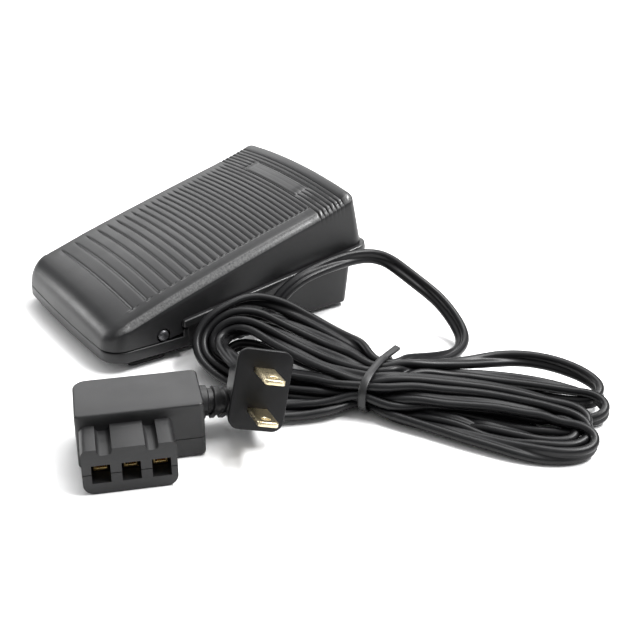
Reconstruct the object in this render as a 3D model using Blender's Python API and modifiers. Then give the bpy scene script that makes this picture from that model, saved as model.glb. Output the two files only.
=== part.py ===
"""Foot control for a sewing machine: a rocking treadle over a closed tray of
electronics, with its flat cords wound in a tied hank, a three-hole machine
connector and a two-blade mains plug. Metres, +Z up. +Y is the high end of the
treadle, +X the side that carries the cord. The origin is under the middle of
the pedal, on the floor."""

import math

import bmesh
import bpy
from mathutils import Euler, Matrix, Vector

MM = 0.001

# ---- driving dimensions, mm ----
COVER_HALF_W = 39.2
COVER_Y0, COVER_Y1 = -54.2, 54.0
COVER_WALL = 2.0
COVER_ROOF = 2.2
TOP_Z, TOP_SLOPE, TOP_CURVE, TOP_CROWN = 34.0, 0.292, 0.000312, 1.5
PIVOT_Y, PIVOT_Z = -33.1, 10.5
TILT = 0.1467  # slope of the treadle's rim at rest: 8.35 degrees
RIM_Z_FRONT, RIM_Z_STEP, RIM_STEP_Y = 8.5, 12.1, -25.6
SILL_Z0, SILL_Z1 = 3.9, 8.0
BOX_HALF_W, BOX_Y0, BOX_Y1 = 36.0, -50.0, 48.0
BOX_Z0, BOX_FLOOR, BOX_WALL = 1.5, 2.2, 2.0
SPRING_X, SPRING_Y = 22.0, 33.0
PLUNGER_Y = 8.0
CORD_R = 2.1
CONNECTOR_AT, CONNECTOR_TURN = (103.9, -76.5, 0.0), 68.7
PLUG_AT, PLUG_TURN = (104.0, -32.5, 19.3), (-14.46, 13.36, 68.2)
TIE_AT, TIE_TURN = (102.2, 12.6, 7.2), 32.0
BOW_FRONT, BOW_REAR = 1.0, 0.5  # how far the ends of the cover bulge

for obj in list(bpy.data.objects):
    bpy.data.objects.remove(obj, do_unlink=True)
scene = bpy.context.scene
scene.unit_settings.system = "METRIC"

PARTS = bpy.data.collections.new("sewing_machine_pedal")
CUTTERS = bpy.data.collections.new("cutters")
CUTTERS.hide_render = True
scene.collection.children.link(PARTS)
scene.collection.children.link(CUTTERS)


def material(name, colour, roughness, metallic=0.0):
    mat = bpy.data.materials.new(name)
    mat.use_nodes = True
    shader = mat.node_tree.nodes["Principled BSDF"]
    shader.inputs["Base Color"].default_value = (*colour, 1.0)
    shader.inputs["Roughness"].default_value = roughness
    shader.inputs["Metallic"].default_value = metallic
    mat.diffuse_color = (*colour, 1.0)
    return mat


BLACK = material("black_abs", (0.028, 0.028, 0.030), 0.38)
BLACK_BASE = material("black_abs_base", (0.024, 0.024, 0.026), 0.45)
CONNECTOR_BLACK = material("connector_black", (0.035, 0.035, 0.037), 0.5)
PLUG_BLACK = material("plug_black_pvc", (0.012, 0.012, 0.013), 0.5)
CORD_BLACK = material("cord_black_pvc", (0.014, 0.014, 0.015), 0.36)
RUBBER = material("rubber", (0.02, 0.02, 0.02), 0.85)
STEEL = material("steel", (0.55, 0.55, 0.56), 0.3, 1.0)
BRASS = material("brass", (0.72, 0.52, 0.22), 0.28, 1.0)
ALUMINIUM = material("aluminium", (0.75, 0.76, 0.77), 0.4, 1.0)
BOARD_GREEN = material("circuit_board", (0.05, 0.2, 0.09), 0.5)
NYLON = material("nylon_white", (0.8, 0.79, 0.75), 0.45)
CERAMIC = material("resistor_ceramic", (0.62, 0.5, 0.36), 0.7)
FILM = material("film_capacitor", (0.75, 0.35, 0.08), 0.4)
COPPER = material("copper_winding", (0.7, 0.32, 0.15), 0.35, 1.0)


def linked(name, data, mat, cutter=False, at=None):
    obj = bpy.data.objects.new(name, data)
    if cutter:
        CUTTERS.objects.link(obj)
        obj.hide_render = True
        obj.display_type = "WIRE"
    else:
        PARTS.objects.link(obj)
    if mat is not None and data is not None:
        own = mat.copy()
        own.name = name
        data.materials.append(own)
    if at is not None:
        obj.parent = at
    return obj


def from_bmesh(name, bm, mat, cutter=False, at=None, centre=None, sharp=32):
    """Millimetre geometry to an object in metres, its origin at centre (mm)."""
    bmesh.ops.recalc_face_normals(bm, faces=bm.faces)
    if bm.calc_volume(signed=True) < 0:
        bmesh.ops.reverse_faces(bm, faces=bm.faces)
    if centre is not None:
        bmesh.ops.translate(bm, verts=bm.verts, vec=-Vector(centre))
    bmesh.ops.scale(bm, verts=bm.verts, vec=(MM, MM, MM))
    mesh = bpy.data.meshes.new(name)
    bm.to_mesh(mesh)
    bm.free()
    mesh.shade_smooth()
    mesh.set_sharp_from_angle(angle=math.radians(sharp))
    obj = linked(name, mesh, mat, cutter, at)
    if centre is not None:
        obj.location = Vector(centre) * MM
    return obj


def box(x0, x1, y0, y1, z0, z1, corner=0.0, corner_steps=4, top=0.0, top_steps=3, bottom=0.0, rear=None):
    """A box with rounded upright corners and, if asked, rounded top and bottom edges."""
    bm = bmesh.new()
    bmesh.ops.create_cube(bm, size=1.0)
    bmesh.ops.scale(bm, verts=bm.verts, vec=(x1 - x0, y1 - y0, z1 - z0))
    bmesh.ops.translate(bm, verts=bm.verts, vec=((x0 + x1) / 2, (y0 + y1) / 2, (z0 + z1) / 2))
    middle = (y0 + y1) / 2
    for radius, sign in ((corner, -1), (corner if rear is None else rear, 1)):
        if radius:
            upright = [e for e in bm.edges if abs(e.verts[0].co.z - e.verts[1].co.z) > 1e-4 and all((v.co.y - middle) * sign > 0 for v in e.verts)
                       and abs(e.verts[0].co.y - e.verts[1].co.y) < 1e-4 and len(e.link_faces) == 2]
            upright = [e for e in upright if abs(abs(e.verts[0].co.x - (x0 + x1) / 2) - (x1 - x0) / 2) < 1e-4]
            bmesh.ops.bevel(bm, geom=upright, offset=radius, segments=corner_steps, profile=0.5, affect="EDGES")
    for radius, level in ((top, z1), (bottom, z0)):
        if radius:
            rim = [e for e in bm.edges if all(abs(v.co.z - level) < 1e-4 for v in e.verts)]
            bmesh.ops.bevel(bm, geom=rim, offset=radius, segments=top_steps, profile=0.5, affect="EDGES")
    return bm


def slice_at(bm, xs=(), ys=(), zs=()):
    """Adds edge loops where planes cut the shape."""
    for values, axis in ((xs, 0), (ys, 1), (zs, 2)):
        for value in values:
            co, no = Vector((0, 0, 0)), Vector((0, 0, 0))
            co[axis], no[axis] = value, 1.0
            bmesh.ops.bisect_plane(bm, geom=bm.verts[:] + bm.edges[:] + bm.faces[:], plane_co=co, plane_no=no)
    return bm


def prism(points, half, axis="X", offset=0.0):
    """A flat outline pushed out both ways along an axis."""
    bm = bmesh.new()
    for a, b in points[:]:
        if axis == "X":
            bm.verts.new((offset - half, a, b))
        else:
            bm.verts.new((a, b, offset - half))
    face = bm.faces.new(bm.verts[:])
    out = bmesh.ops.extrude_face_region(bm, geom=[face])
    moved = [g for g in out["geom"] if isinstance(g, bmesh.types.BMVert)]
    step = (2 * half, 0, 0) if axis == "X" else (0, 0, 2 * half)
    bmesh.ops.translate(bm, verts=moved, vec=step)
    return bm


def cylinder(radius, z0, z1, x=0.0, y=0.0, steps=20, radius_top=None, axis="Z"):
    bm = bmesh.new()
    bmesh.ops.create_cone(
        bm, cap_ends=True, segments=steps, radius1=radius,
        radius2=radius if radius_top is None else radius_top, depth=z1 - z0,
        matrix=Matrix.Translation((0, 0, (z0 + z1) / 2)),
    )
    if axis == "X":
        bmesh.ops.rotate(bm, verts=bm.verts, cent=(0, 0, 0), matrix=Matrix.Rotation(math.pi / 2, 3, "Y"))
        bmesh.ops.translate(bm, verts=bm.verts, vec=(0, x, y))
    else:
        bmesh.ops.translate(bm, verts=bm.verts, vec=(x, y, 0))
    return bm


def boolean(obj, other, operation="DIFFERENCE"):
    mod = obj.modifiers.new(operation.lower() + "_" + other.name, "BOOLEAN")
    mod.operation = operation
    mod.solver = "EXACT"
    mod.object = other


def cut(obj, name, bm, at=None):
    boolean(obj, from_bmesh(name, bm, None, cutter=True, at=at))


def join(obj, name, bm, at=None):
    boolean(obj, from_bmesh(name, bm, None, cutter=True, at=at), "UNION")


def turned(name, profile, mat, at=None, location=(0, 0, 0), rotation=(0, 0, 0), steps=18):
    """A solid of revolution about its own Z: profile is (radius, height) pairs from top to bottom, mm."""
    mesh = bpy.data.meshes.new(name)
    verts = [(r * MM, 0.0, z * MM) for r, z in profile]
    mesh.from_pydata(verts, [(i, i + 1) for i in range(len(verts) - 1)], [])
    obj = linked(name, mesh, mat, at=at)
    spin = obj.modifiers.new("turn", "SCREW")
    spin.steps = spin.render_steps = steps
    spin.use_merge_vertices = True
    spin.merge_threshold = 0.00001
    spin.use_smooth_shade = True
    obj.location = Vector(location) * MM
    obj.rotation_euler = Euler([math.radians(a) for a in rotation])
    return obj


def tube(name, points, radius, mat, at=None, radii=None, resolution=2, closed=False):
    curve = bpy.data.curves.new(name, "CURVE")
    curve.dimensions = "3D"
    curve.bevel_depth = radius * MM
    curve.bevel_resolution = resolution
    curve.use_fill_caps = True
    curve.resolution_u = 1
    spline = curve.splines.new("POLY")
    spline.points.add(len(points) - 1)
    for i, p in enumerate(points):
        spline.points[i].co = (p[0] * MM, p[1] * MM, p[2] * MM, 1.0)
        spline.points[i].radius = 1.0 if radii is None else radii[i] / radius
        spline.points[i].tilt = 0.0
    spline.use_cyclic_u = closed
    spline.use_smooth = True
    return linked(name, curve, mat, at=at)


def smooth_path(anchors, count):
    """Evenly spaced points on a Catmull-Rom curve through the anchors."""
    pts = [Vector(a) for a in anchors]
    pts = [pts[0] * 2 - pts[1]] + pts + [pts[-1] * 2 - pts[-2]]
    dense = []
    for i in range(1, len(pts) - 2):
        p0, p1, p2, p3 = pts[i - 1 : i + 3]
        for k in range(24):
            t = k / 24
            dense.append(
                0.5 * ((2 * p1) + (p2 - p0) * t + (2 * p0 - 5 * p1 + 4 * p2 - p3) * t * t
                       + (3 * p1 - p0 - 3 * p2 + p3) * t * t * t)
            )
    dense.append(pts[-2])
    reach = [0.0]
    for a, b in zip(dense, dense[1:]):
        reach.append(reach[-1] + (b - a).length)
    out, j = [], 0
    for k in range(count):
        want = reach[-1] * k / (count - 1)
        while j < len(reach) - 2 and reach[j + 1] < want:
            j += 1
        span = reach[j + 1] - reach[j]
        out.append(dense[j].lerp(dense[j + 1], 0 if span == 0 else (want - reach[j]) / span))
    return out


def clamp01(v):
    return max(0.0, min(1.0, v))


# ---- treadle cover ----
def top_z(x, y):
    return TOP_Z + TOP_SLOPE * y - TOP_CURVE * y * y - TOP_CROWN * (x / 32.0) ** 2


def rim_z(y):
    return RIM_Z_STEP + TILT * (y - RIM_STEP_Y)


def shape_cover(bm, roof, drop, keep):
    """Bends a box into the wedge: crowned sloping top, drafted walls, bowed ends."""
    for v in bm.verts:
        x, y, z = v.co
        if z > keep:
            z = top_z(x, y) - drop - (roof - z)
        above = max(0.0, z - 8.5 - TILT * max(0.0, y - PIVOT_Y))
        front, rear = clamp01((-y - 30) / 24), clamp01((y - 30) / 24)
        bow = 1 - min(1.0, (x / 36.0) ** 2)
        v.co = (
            x * (1 - 0.045 * above / COVER_HALF_W),
            y + 0.2 * (z - 8.5) * front - 0.2 * (z - 23.5) * rear - BOW_FRONT * bow * front + BOW_REAR * bow * rear,
            z,
        )
    return bm


CUTS_Y = (-46, -38, -30, -18, -4, 10, 24, 34, 44)
CUTS_X = (-28, -14, 0, 14, 28)

shell = box(-COVER_HALF_W, COVER_HALF_W, COVER_Y0, COVER_Y1, 0, 40, corner=7.5, corner_steps=5, top=3.6, top_steps=4, rear=4.2)
slice_at(shell, xs=CUTS_X, ys=CUTS_Y)
cover = from_bmesh("treadle_cover", shape_cover(shell, 40, 0, 33), BLACK)
pivot = bpy.data.objects.new("treadle_pivot", None)
PARTS.objects.link(pivot)
pivot.location = (0, PIVOT_Y * MM, PIVOT_Z * MM)
cover.parent = pivot
cover.matrix_parent_inverse = Matrix.Translation((0, -PIVOT_Y * MM, -PIVOT_Z * MM))

flange = box(-COVER_HALF_W - 1.4, COVER_HALF_W + 1.4, RIM_STEP_Y, COVER_Y1 + 1.4, 0, 1)
rear_corners = [
    e for e in flange.edges
    if abs(e.verts[0].co.z - e.verts[1].co.z) > 0.5 and e.verts[0].co.y > 0
]
bmesh.ops.bevel(flange, geom=rear_corners, offset=5.4, segments=4, profile=0.5, affect="EDGES")
slice_at(flange, xs=CUTS_X, ys=CUTS_Y[3:])
for v in flange.verts:
    x, y, z = v.co
    z = rim_z(y) - 0.3 + 2.9 * z
    rear = clamp01((y - 30) / 24)
    v.co = (x, y - 0.2 * (z - 23.5) * rear + BOW_REAR * (1 - min(1.0, (x / 36.0) ** 2)) * rear, z)
join(cover, "rim_band", flange)

hollow = box(-COVER_HALF_W + COVER_WALL, COVER_HALF_W - COVER_WALL, COVER_Y0 + COVER_WALL, COVER_Y1 - COVER_WALL,
             -4, 40 - COVER_ROOF, corner=5.5, corner_steps=4, top=2.2, top_steps=3, rear=2.6)
slice_at(hollow, xs=CUTS_X, ys=CUTS_Y)
cut(cover, "cover_hollow", shape_cover(hollow, 40 - COVER_ROOF, COVER_ROOF, 33))


def boss(x, y, radius, foot):
    """A post that hangs from the roof, its foot tilted half the treadle's travel."""
    bm = cylinder(radius, 0, 10, x, y, steps=16)
    for v in bm.verts:
        if v.co.z > 5:
            v.co.z = top_z(v.co.x, v.co.y) - 1.1
        else:
            v.co.z = foot + 0.0728 * (v.co.y - y)
    return bm


join(cover, "spring_post_right", boss(SPRING_X, SPRING_Y, 5.0, 36.0))
join(cover, "spring_post_left", boss(-SPRING_X, SPRING_Y, 5.0, 36.0))
join(cover, "plunger_pad", boss(0, PLUNGER_Y, 5.0, 31.6))
cut(cover, "rim_line", prism(
    [(-80, -12), (-80, RIM_Z_FRONT), (PIVOT_Y, RIM_Z_FRONT), (RIM_STEP_Y, RIM_Z_FRONT + TILT * (RIM_STEP_Y - PIVOT_Y)),
     (RIM_STEP_Y, rim_z(RIM_STEP_Y)), (80, rim_z(80)), (80, -12)], 60))
cut(cover, "pivot_bore", cylinder(2.6, -60, 60, PIVOT_Y, PIVOT_Z, steps=20, axis="X"))

# ---- base housing ----
def deck_z(y):
    """The tray's sloping top edge."""
    if y > -25:
        return 19.3 + 0.12 * y
    return max(SILL_Z1, 16.3 + 0.33 * (y + 25))


tray = box(-BOX_HALF_W, BOX_HALF_W, BOX_Y0, BOX_Y1, BOX_Z0, 40, corner=5.0, corner_steps=4, bottom=0.8, top_steps=2, rear=3.0)
for v in tray.verts:
    x, y, z = v.co
    rear = clamp01((y - 20) / 26)
    v.co = (x * (1 + 0.02 * min(z - BOX_Z0, 18) / BOX_HALF_W), y + 0.11 * (z - BOX_Z0) * rear, z)
base = from_bmesh("base_housing", tray, BLACK_BASE)
cut(base, "deck_line", prism([(-70, 60), (-70, deck_z(-60)), (-50.15, deck_z(-50.15)), (-25, deck_z(-25)), (70, deck_z(70)), (70, 60)], 60))

sill = box(-COVER_HALF_W, COVER_HALF_W, COVER_Y0, -23.2, SILL_Z0, 11.0)
front_corners = [
    e for e in sill.edges
    if abs(e.verts[0].co.z - e.verts[1].co.z) > 0.5 and e.verts[0].co.y < -40
]
bmesh.ops.bevel(sill, geom=front_corners, offset=7.5, segments=5, profile=0.5, affect="EDGES")
slice_at(sill, xs=CUTS_X, ys=(-44, -36))
for v in sill.verts:
    x, y, z = v.co
    v.co.y = y - BOW_FRONT * (1 - min(1.0, (x / 36.0) ** 2)) * clamp01((-y - 30) / 24)
sill_body = from_bmesh("sill_body", sill, None, cutter=True)
boolean(sill_body, from_bmesh("sill_step", prism([(-80, SILL_Z1), (-80, 30), (-25.3, 30), (-25.3, SILL_Z1)], 60), None, cutter=True))
boolean(base, sill_body, "UNION")

well = box(-34.0, 34.0, -47.6, 46.2, BOX_Z0 + BOX_FLOOR, 60, corner=3.4, corner_steps=3, rear=1.6)
cut(base, "tray_well", well)
for side, sx in (("right", 1), ("left", -1)):
    join(base, "spring_well_" + side, cylinder(6.0, 2.6, 15.0, sx * SPRING_X, SPRING_Y, steps=20))
    cut(base, "spring_bore_" + side, cylinder(4.7, 3.7, 18.0, sx * SPRING_X, SPRING_Y, steps=20))
    join(base, "pivot_lug_" + side, box(*sorted((sx * 27.5, sx * 34.5)), PIVOT_Y - 4, PIVOT_Y + 4, 2.6, 12.6))
    cut(base, "pin_bore_" + side, cylinder(1.75, *sorted((sx * 25.5, sx * 45.0)), PIVOT_Y, PIVOT_Z, steps=14, axis="X"))

LID_SCREWS = ((29.6, 40.0), (-29.6, 40.0), (29.6, -22.4), (-29.6, -22.4))
BOARD_SCREWS = ((-26.5, -16.5), (12.0, -16.5), (-26.5, 0.5), (12.0, 0.5))
CLAMP_SCREWS = ((27.0, -16.2), (27.0, -5.4))
for i, (x, y) in enumerate(LID_SCREWS, 1):
    join(base, "lid_post_%d" % i, cylinder(3.1, 2.6, deck_z(y) - 2.8, x, y, steps=14))
    cut(base, "lid_pilot_%d" % i, cylinder(1.5, deck_z(y) - 11.0, 40, x, y, steps=10))
for i, (x, y) in enumerate(BOARD_SCREWS, 1):
    join(base, "board_post_%d" % i, cylinder(2.6, 2.6, 6.2, x, y, steps=14))
    cut(base, "board_pilot_%d" % i, cylinder(1.3, 3.2, 12, x, y, steps=10))
for i, (x, y) in enumerate(CLAMP_SCREWS, 1):
    join(base, "clamp_post_%d" % i, cylinder(2.7, 2.6, 10.6, x, y, steps=14))
    cut(base, "clamp_pilot_%d" % i, cylinder(1.3, 4.0, 16, x, y, steps=10))
cut(base, "flange_pocket", cylinder(4.3, 30.6, 33.4, -11.0, 6.9, steps=18, axis="X"))
cut(base, "cord_exit", cylinder(3.7, 20, 50, -11.0, 6.9, steps=18, axis="X"))

FEET = (("front_right", 25.4, -45.0), ("front_left", -35.2, -45.0), ("rear_right", 25.4, 17.0), ("rear_left", -35.2, 17.0))
for where, x, y in FEET:
    foot = from_bmesh("rubber_foot_" + where, box(x, x + 9.8, y, y + 14.0, 0, 1.2, corner=1.5, corner_steps=3), RUBBER)

# ---- inner lid ----
deck = prism(
    [(-47.2, deck_z(-47.2) - 2.2), (-47.2, deck_z(-47.2) - 0.4), (-25, deck_z(-25) - 0.4), (44.2, deck_z(44.2) - 0.4),
     (44.2, deck_z(44.2) - 2.2), (-25, deck_z(-25) - 2.2)], 33.1)
lid_corners = [e for e in deck.edges if abs(e.verts[0].co.z - e.verts[1].co.z) > 0.5 and abs(e.verts[0].co.y + 25) > 1
               and abs(e.verts[0].co.y - e.verts[1].co.y) < 0.1]
bmesh.ops.bevel(deck, geom=lid_corners, offset=3.2, segments=3, profile=0.5, affect="EDGES")
lid = from_bmesh("housing_lid", deck, BLACK_BASE)
for side, sx in (("right", 1), ("left", -1)):
    cut(lid, "lid_spring_hole_" + side, cylinder(5.4, 0, 50, sx * SPRING_X, SPRING_Y, steps=20))
    cut(lid, "lid_lug_notch_" + side, box(*sorted((sx * 27.1, sx * 40.0)), PIVOT_Y - 4.4, PIVOT_Y + 4.4, 0, 30))
cut(lid, "lid_guide", cylinder(3.4, 0, 50, 0, PLUNGER_Y, steps=18))
for i, (x, y) in enumerate(LID_SCREWS, 1):
    cut(lid, "lid_hole_%d" % i, cylinder(1.7, 0, 50, x, y, steps=12))

SCREW = [(0, 1.6), (1.5, 1.5), (2.4, 0.6), (2.5, 0), (1.2, 0), (1.2, -6.6), (0, -7.4)]
for i, (x, y) in enumerate(LID_SCREWS, 1):
    turned("lid_screw_%d" % i, SCREW, STEEL, location=(x, y, deck_z(y + 2.6) - 0.05), steps=12)

# ---- pivot pins ----
PIN = [(0, 1.9), (1.3, 1.8), (2.0, 1.2), (2.15, 0), (1.5, 0), (1.5, -10.2), (0, -10.6)]
turned("pivot_pin_right", PIN, STEEL, location=(37.7, PIVOT_Y, PIVOT_Z), rotation=(0, 90, 0), steps=16)
turned("pivot_pin_left", PIN, STEEL, location=(-37.7, PIVOT_Y, PIVOT_Z), rotation=(0, -90, 0), steps=16)

# ---- return springs ----
def spring(name, x, y, z0, z1, radius, wire, turns, mat=STEEL):
    steps = 12 * turns
    z0, z1 = z0 + wire, z1 - wire
    pts = []
    for k in range(steps + 1):
        t = k / steps
        # end coils lie nearly flat
        h = clamp01((t - 0.5 / turns) / (1 - 1.0 / turns))
        a = 2 * math.pi * turns * t
        pts.append((x + radius * math.cos(a), y + radius * math.sin(a), z0 + wire * 0.6 * min(t, 0.5 / turns) * turns + (z1 - z0 - wire * 0.6) * h + wire * 0.6 * max(0.0, t - 1 + 0.5 / turns) * turns))
    return tube(name, pts, wire, mat, resolution=1)


spring("return_spring_right", SPRING_X, SPRING_Y, 4.0, 35.6, 3.6, 0.5, 8)
spring("return_spring_left", -SPRING_X, SPRING_Y, 4.0, 35.6, 3.6, 0.5, 8)

# ---- speed control: plunger, spring, wiper and resistor ----
plunger = turned(
    "actuator_plunger",
    [(0, 15.8), (1.4, 15.7), (2.4, 15.2), (3.0, 14.1), (3.0, 1.6), (4.5, 1.6), (4.5, 0), (1.6, 0), (1.6, -2.4), (0, -2.4)],
    NYLON, location=(0, PLUNGER_Y, 15.4))
spring("plunger_spring", 0, PLUNGER_Y, 4.0, 15.1, 2.6, 0.35, 4)
wiper = from_bmesh("wiper_contact", box(-1.6, 1.6, 12.8, 13.9, 15.6, 16.4), BRASS)
track = from_bmesh("resistor_plate", box(-7, 7, 14.2, 15.4, 4.0, 17.6), CERAMIC)

# ---- control board ----
board = from_bmesh("control_board", box(-30.5, 15.5, -18.9, 4.0, 6.5, 8.1, corner=1.0, corner_steps=1), BOARD_GREEN)
for i, (x, y) in enumerate(BOARD_SCREWS, 1):
    cut(board, "board_hole_%d" % i, cylinder(1.6, 0, 20, x, y, steps=12))
    turned("board_screw_%d" % i, [(0, 1.3), (1.3, 1.2), (2.1, 0.5), (2.2, 0), (1.0, 0), (1.0, -4.2), (0, -4.8)],
           STEEL, location=(x, y, 8.4), steps=12)
cut(board, "plunger_clearance", cylinder(5.6, 0, 20, 0, PLUNGER_Y, steps=16))

sink = from_bmesh("heat_sink", prism([(-6.0, 8.4), (-6.0, 14.2), (-7.4, 14.2), (-7.4, 9.8), (-14.0, 9.8), (-14.0, 8.4)], 10.0, offset=-10.0), ALUMINIUM)
triac = from_bmesh("triac", box(-15.0, -5.0, -13.6, -7.8, 10.1, 13.6, top=0.5, top_steps=1), material("epoxy_black", (0.02, 0.02, 0.02), 0.6))
capacitor = from_bmesh("suppressor_capacitor", box(-23.9, -11.5, -4.6, 0.2, 8.4, 14.6, corner=0.8, corner_steps=2, top=0.6, top_steps=2), FILM)
choke = turned("choke_coil", [(2.0, 4.6), (4.4, 4.6), (4.9, 4.0), (4.9, 0.6), (4.4, 0), (2.0, 0), (2.0, 4.6)], COPPER, location=(5.5, -4.2, 8.4), steps=20)
terminals = from_bmesh("terminal_block", box(1.0, 9.0, -19.0, -12.0, 8.4, 13.4, top=0.5, top_steps=1), NYLON)

# ---- cord exit ----
clamp = from_bmesh("cord_clamp", box(23.6, 30.4, -18.9, -2.6, 10.9, 12.5, corner=1.2, corner_steps=2), NYLON)
for i, (x, y) in enumerate(CLAMP_SCREWS, 1):
    cut(clamp, "clamp_hole_%d" % i, cylinder(1.6, 0, 20, x, y, steps=12))
    turned("clamp_screw_%d" % i, [(0, 1.3), (1.3, 1.2), (2.1, 0.5), (2.2, 0), (1.0, 0), (1.0, -6.2), (0, -6.8)],
           STEEL, location=(x, y, 12.8), steps=12)
tube("pedal_cord_boot",
     [(31.2, -11, 6.9), (32.9, -11, 6.9), (33.1, -11, 6.9), (36.2, -11, 6.9), (38.9, -10.7, 6.9), (41.4, -9.6, 6.9),
      (43.1, -7.6, 6.9), (44.1, -5.0, 7.1), (44.6, -2.0, 7.6), (44.8, 1.0, 8.6)],
     3.3, RUBBER, radii=[4.0, 4.0, 3.3, 3.3, 3.3, 3.3, 3.2, 3.0, 2.8, 2.6], resolution=2)

# ---- cords ----
tube("pedal_cord", smooth_path(
    [(44.83, 1.45, 8.75), (45.0, 4.4, 9.8), (45.0, 7.0, 11.9), (44.9, 12.0, 16.9), (44.6, 20.0, 21.2), (44.4, 33.0, 23.7), (44.6, 44.0, 24.2),
     (47.5, 53.0, 23.2), (57.0, 57.4, 20.4), (65.5, 60.6, 16.2), (74.0, 63.6, 11.2), (83.0, 63.4, 6.6), (90.0, 60.0, 3.8),
     (93.8, 54.0, 2.6), (94.4, 47.0, 2.5), (93.4, 39.5, 2.6), (92.2, 34.0, 2.8)], 26), CORD_R, CORD_BLACK, resolution=2)

connector = bpy.data.objects.new("connector_frame", None)
PARTS.objects.link(connector)
connector.location = Vector(CONNECTOR_AT) * MM
connector.rotation_euler = (0, 0, math.radians(CONNECTOR_TURN))

plug = bpy.data.objects.new("plug_frame", None)
PARTS.objects.link(plug)
plug.location = Vector(PLUG_AT) * MM
plug.rotation_euler = Euler([math.radians(a) for a in PLUG_TURN])


def connector_gate(x0, x1, radius, y, z):
    return cylinder(radius, x0, x1, y, z, steps=16, axis="X")


# upper and lower shells meet at the parting line
upper = from_bmesh("connector_upper_shell", box(-15.2, 23.4, 13.6, 35.8, 6.75, 18.4, corner=2.0, corner_steps=3, top=0.5, top_steps=2), CONNECTOR_BLACK, at=connector)
lower = from_bmesh("connector_lower_shell", box(-15.2, 23.4, 13.6, 35.8, 0.0, 6.45, corner=2.0, corner_steps=3, bottom=1.0, top_steps=2), CONNECTOR_BLACK, at=connector)
join(upper, "upper_nose", box(-14.2, 13.4, 0, 15.4, 6.75, 14.9, top=1.2, top_steps=2), at=connector)
join(lower, "lower_nose", box(-14.2, 13.4, 0, 15.4, 0.0, 6.45, bottom=2.2, top_steps=3), at=connector)
for half, tag in ((upper, "upper"), (lower, "lower")):
    for i, x in enumerate((-8.73, 0.0, 8.73), 1):
        cut(half, "%s_hole_%d" % (tag, i), box(x - 2.75, x + 2.75, -1, 14.6, 3.6, 9.6), at=connector)
        cut(half, "%s_slot_%d" % (tag, i), box(x - 1.2, x + 1.2, 14, 19, 5.0, 8.2), at=connector)
    cut(half, tag + "_chamber", box(-12.8, 15.0, 17.6, 33.6, 2.4, 15.9), at=connector)
    cut(half, tag + "_gate", connector_gate(14, 30, 3.7, 29.5, 9.4), at=connector)
for i, (x0, x1) in enumerate(((-9.6, -5.1), (4.4, 8.2)), 1):
    cut(upper, "key_groove_%d" % i, box(x0, x1, -1, 13.6, 13.7, 20), at=connector)
for i, x in enumerate((-8.73, 0.0, 8.73), 1):
    contact = from_bmesh("connector_contact_%d" % i, box(x - 2.3, x + 2.3, 6.2, 14.0, 4.0, 9.2), BRASS, at=connector)
    cut(contact, "contact_bore_%d" % i, box(x - 1.5, x + 1.5, 5.0, 15.0, 4.9, 8.3), at=connector)
for i, x in enumerate((-9.0, 18.8), 1):
    y = 20.0
    post = cylinder(2.4, 5.0, 16.0, x if i == 1 else 18.8, y, steps=14)
    for half, tag in ((upper, "upper"), (lower, "lower")):
        if i == 1:
            slab = (6.75, 16.6) if tag == "upper" else (1.0, 6.45)
            join(half, "%s_post_%d" % (tag, i), cylinder(2.6, slab[0], slab[1], x, y, steps=14), at=connector)
        cut(half, "%s_screw_bore_%d" % (tag, i), cylinder(1.25, -1.0, 12.5, x, y, steps=12), at=connector)
    cut(lower, "screw_head_bore_%d" % i, cylinder(2.4, -1.0, 1.6, x, y, steps=14), at=connector)
    post.free()
    turned("connector_screw_%d" % i, [(0, 10.4), (1.0, 9.8), (1.0, 0), (2.1, 0), (2.1, -0.9), (0, -0.9)], STEEL,
           at=connector, location=(x, y, 1.3), steps=12)

# ribbed strain relief on the connector's end
boot_line = [(16.2, 29.5, 9.4), (20.0, 29.5, 9.4), (23.5, 29.5, 9.4), (23.9, 29.5, 9.4)]
boot_line += [tuple(p) for p in smooth_path([(25.0, 29.5, 9.35), (28.0, 29.7, 8.9), (31.2, 30.2, 8.0), (34.2, 30.9, 6.8)], 8)]
boot_radii = [3.2, 3.2, 3.2, 5.5, 5.5, 4.7, 5.3, 4.6, 5.1, 4.5, 4.8, 4.4]
tube("connector_boot", boot_line, 5.5, PLUG_BLACK, at=connector, radii=boot_radii, resolution=3)

tube("connector_cord_upper", smooth_path([(85.4, -32.3, 6.5), (85.6, -31.0, 5.95), (86.3, -28.6, 4.9), (87.8, -25.4, 3.6), (89.4, -22.6, 2.9), (90.6, -20.8, 2.6)], 7),
     CORD_R, CORD_BLACK, resolution=2)
tube("connector_cord_lower", smooth_path([(89.9, -32.9, 6.5), (90.1, -31.6, 5.95), (91.0, -29.0, 4.6), (93.0, -25.4, 3.1), (95.6, -20.6, 2.5), (99.4, -11.4, 2.5)], 8),
     CORD_R, CORD_BLACK, resolution=2)

# ---- mains plug ----
plug_body = from_bmesh("plug_body", box(-8.75, 8.75, -12.75, 12.75, 0, 3.0, corner=3.6, corner_steps=4, top=0.4, top_steps=1), PLUG_BLACK, at=plug)
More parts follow.
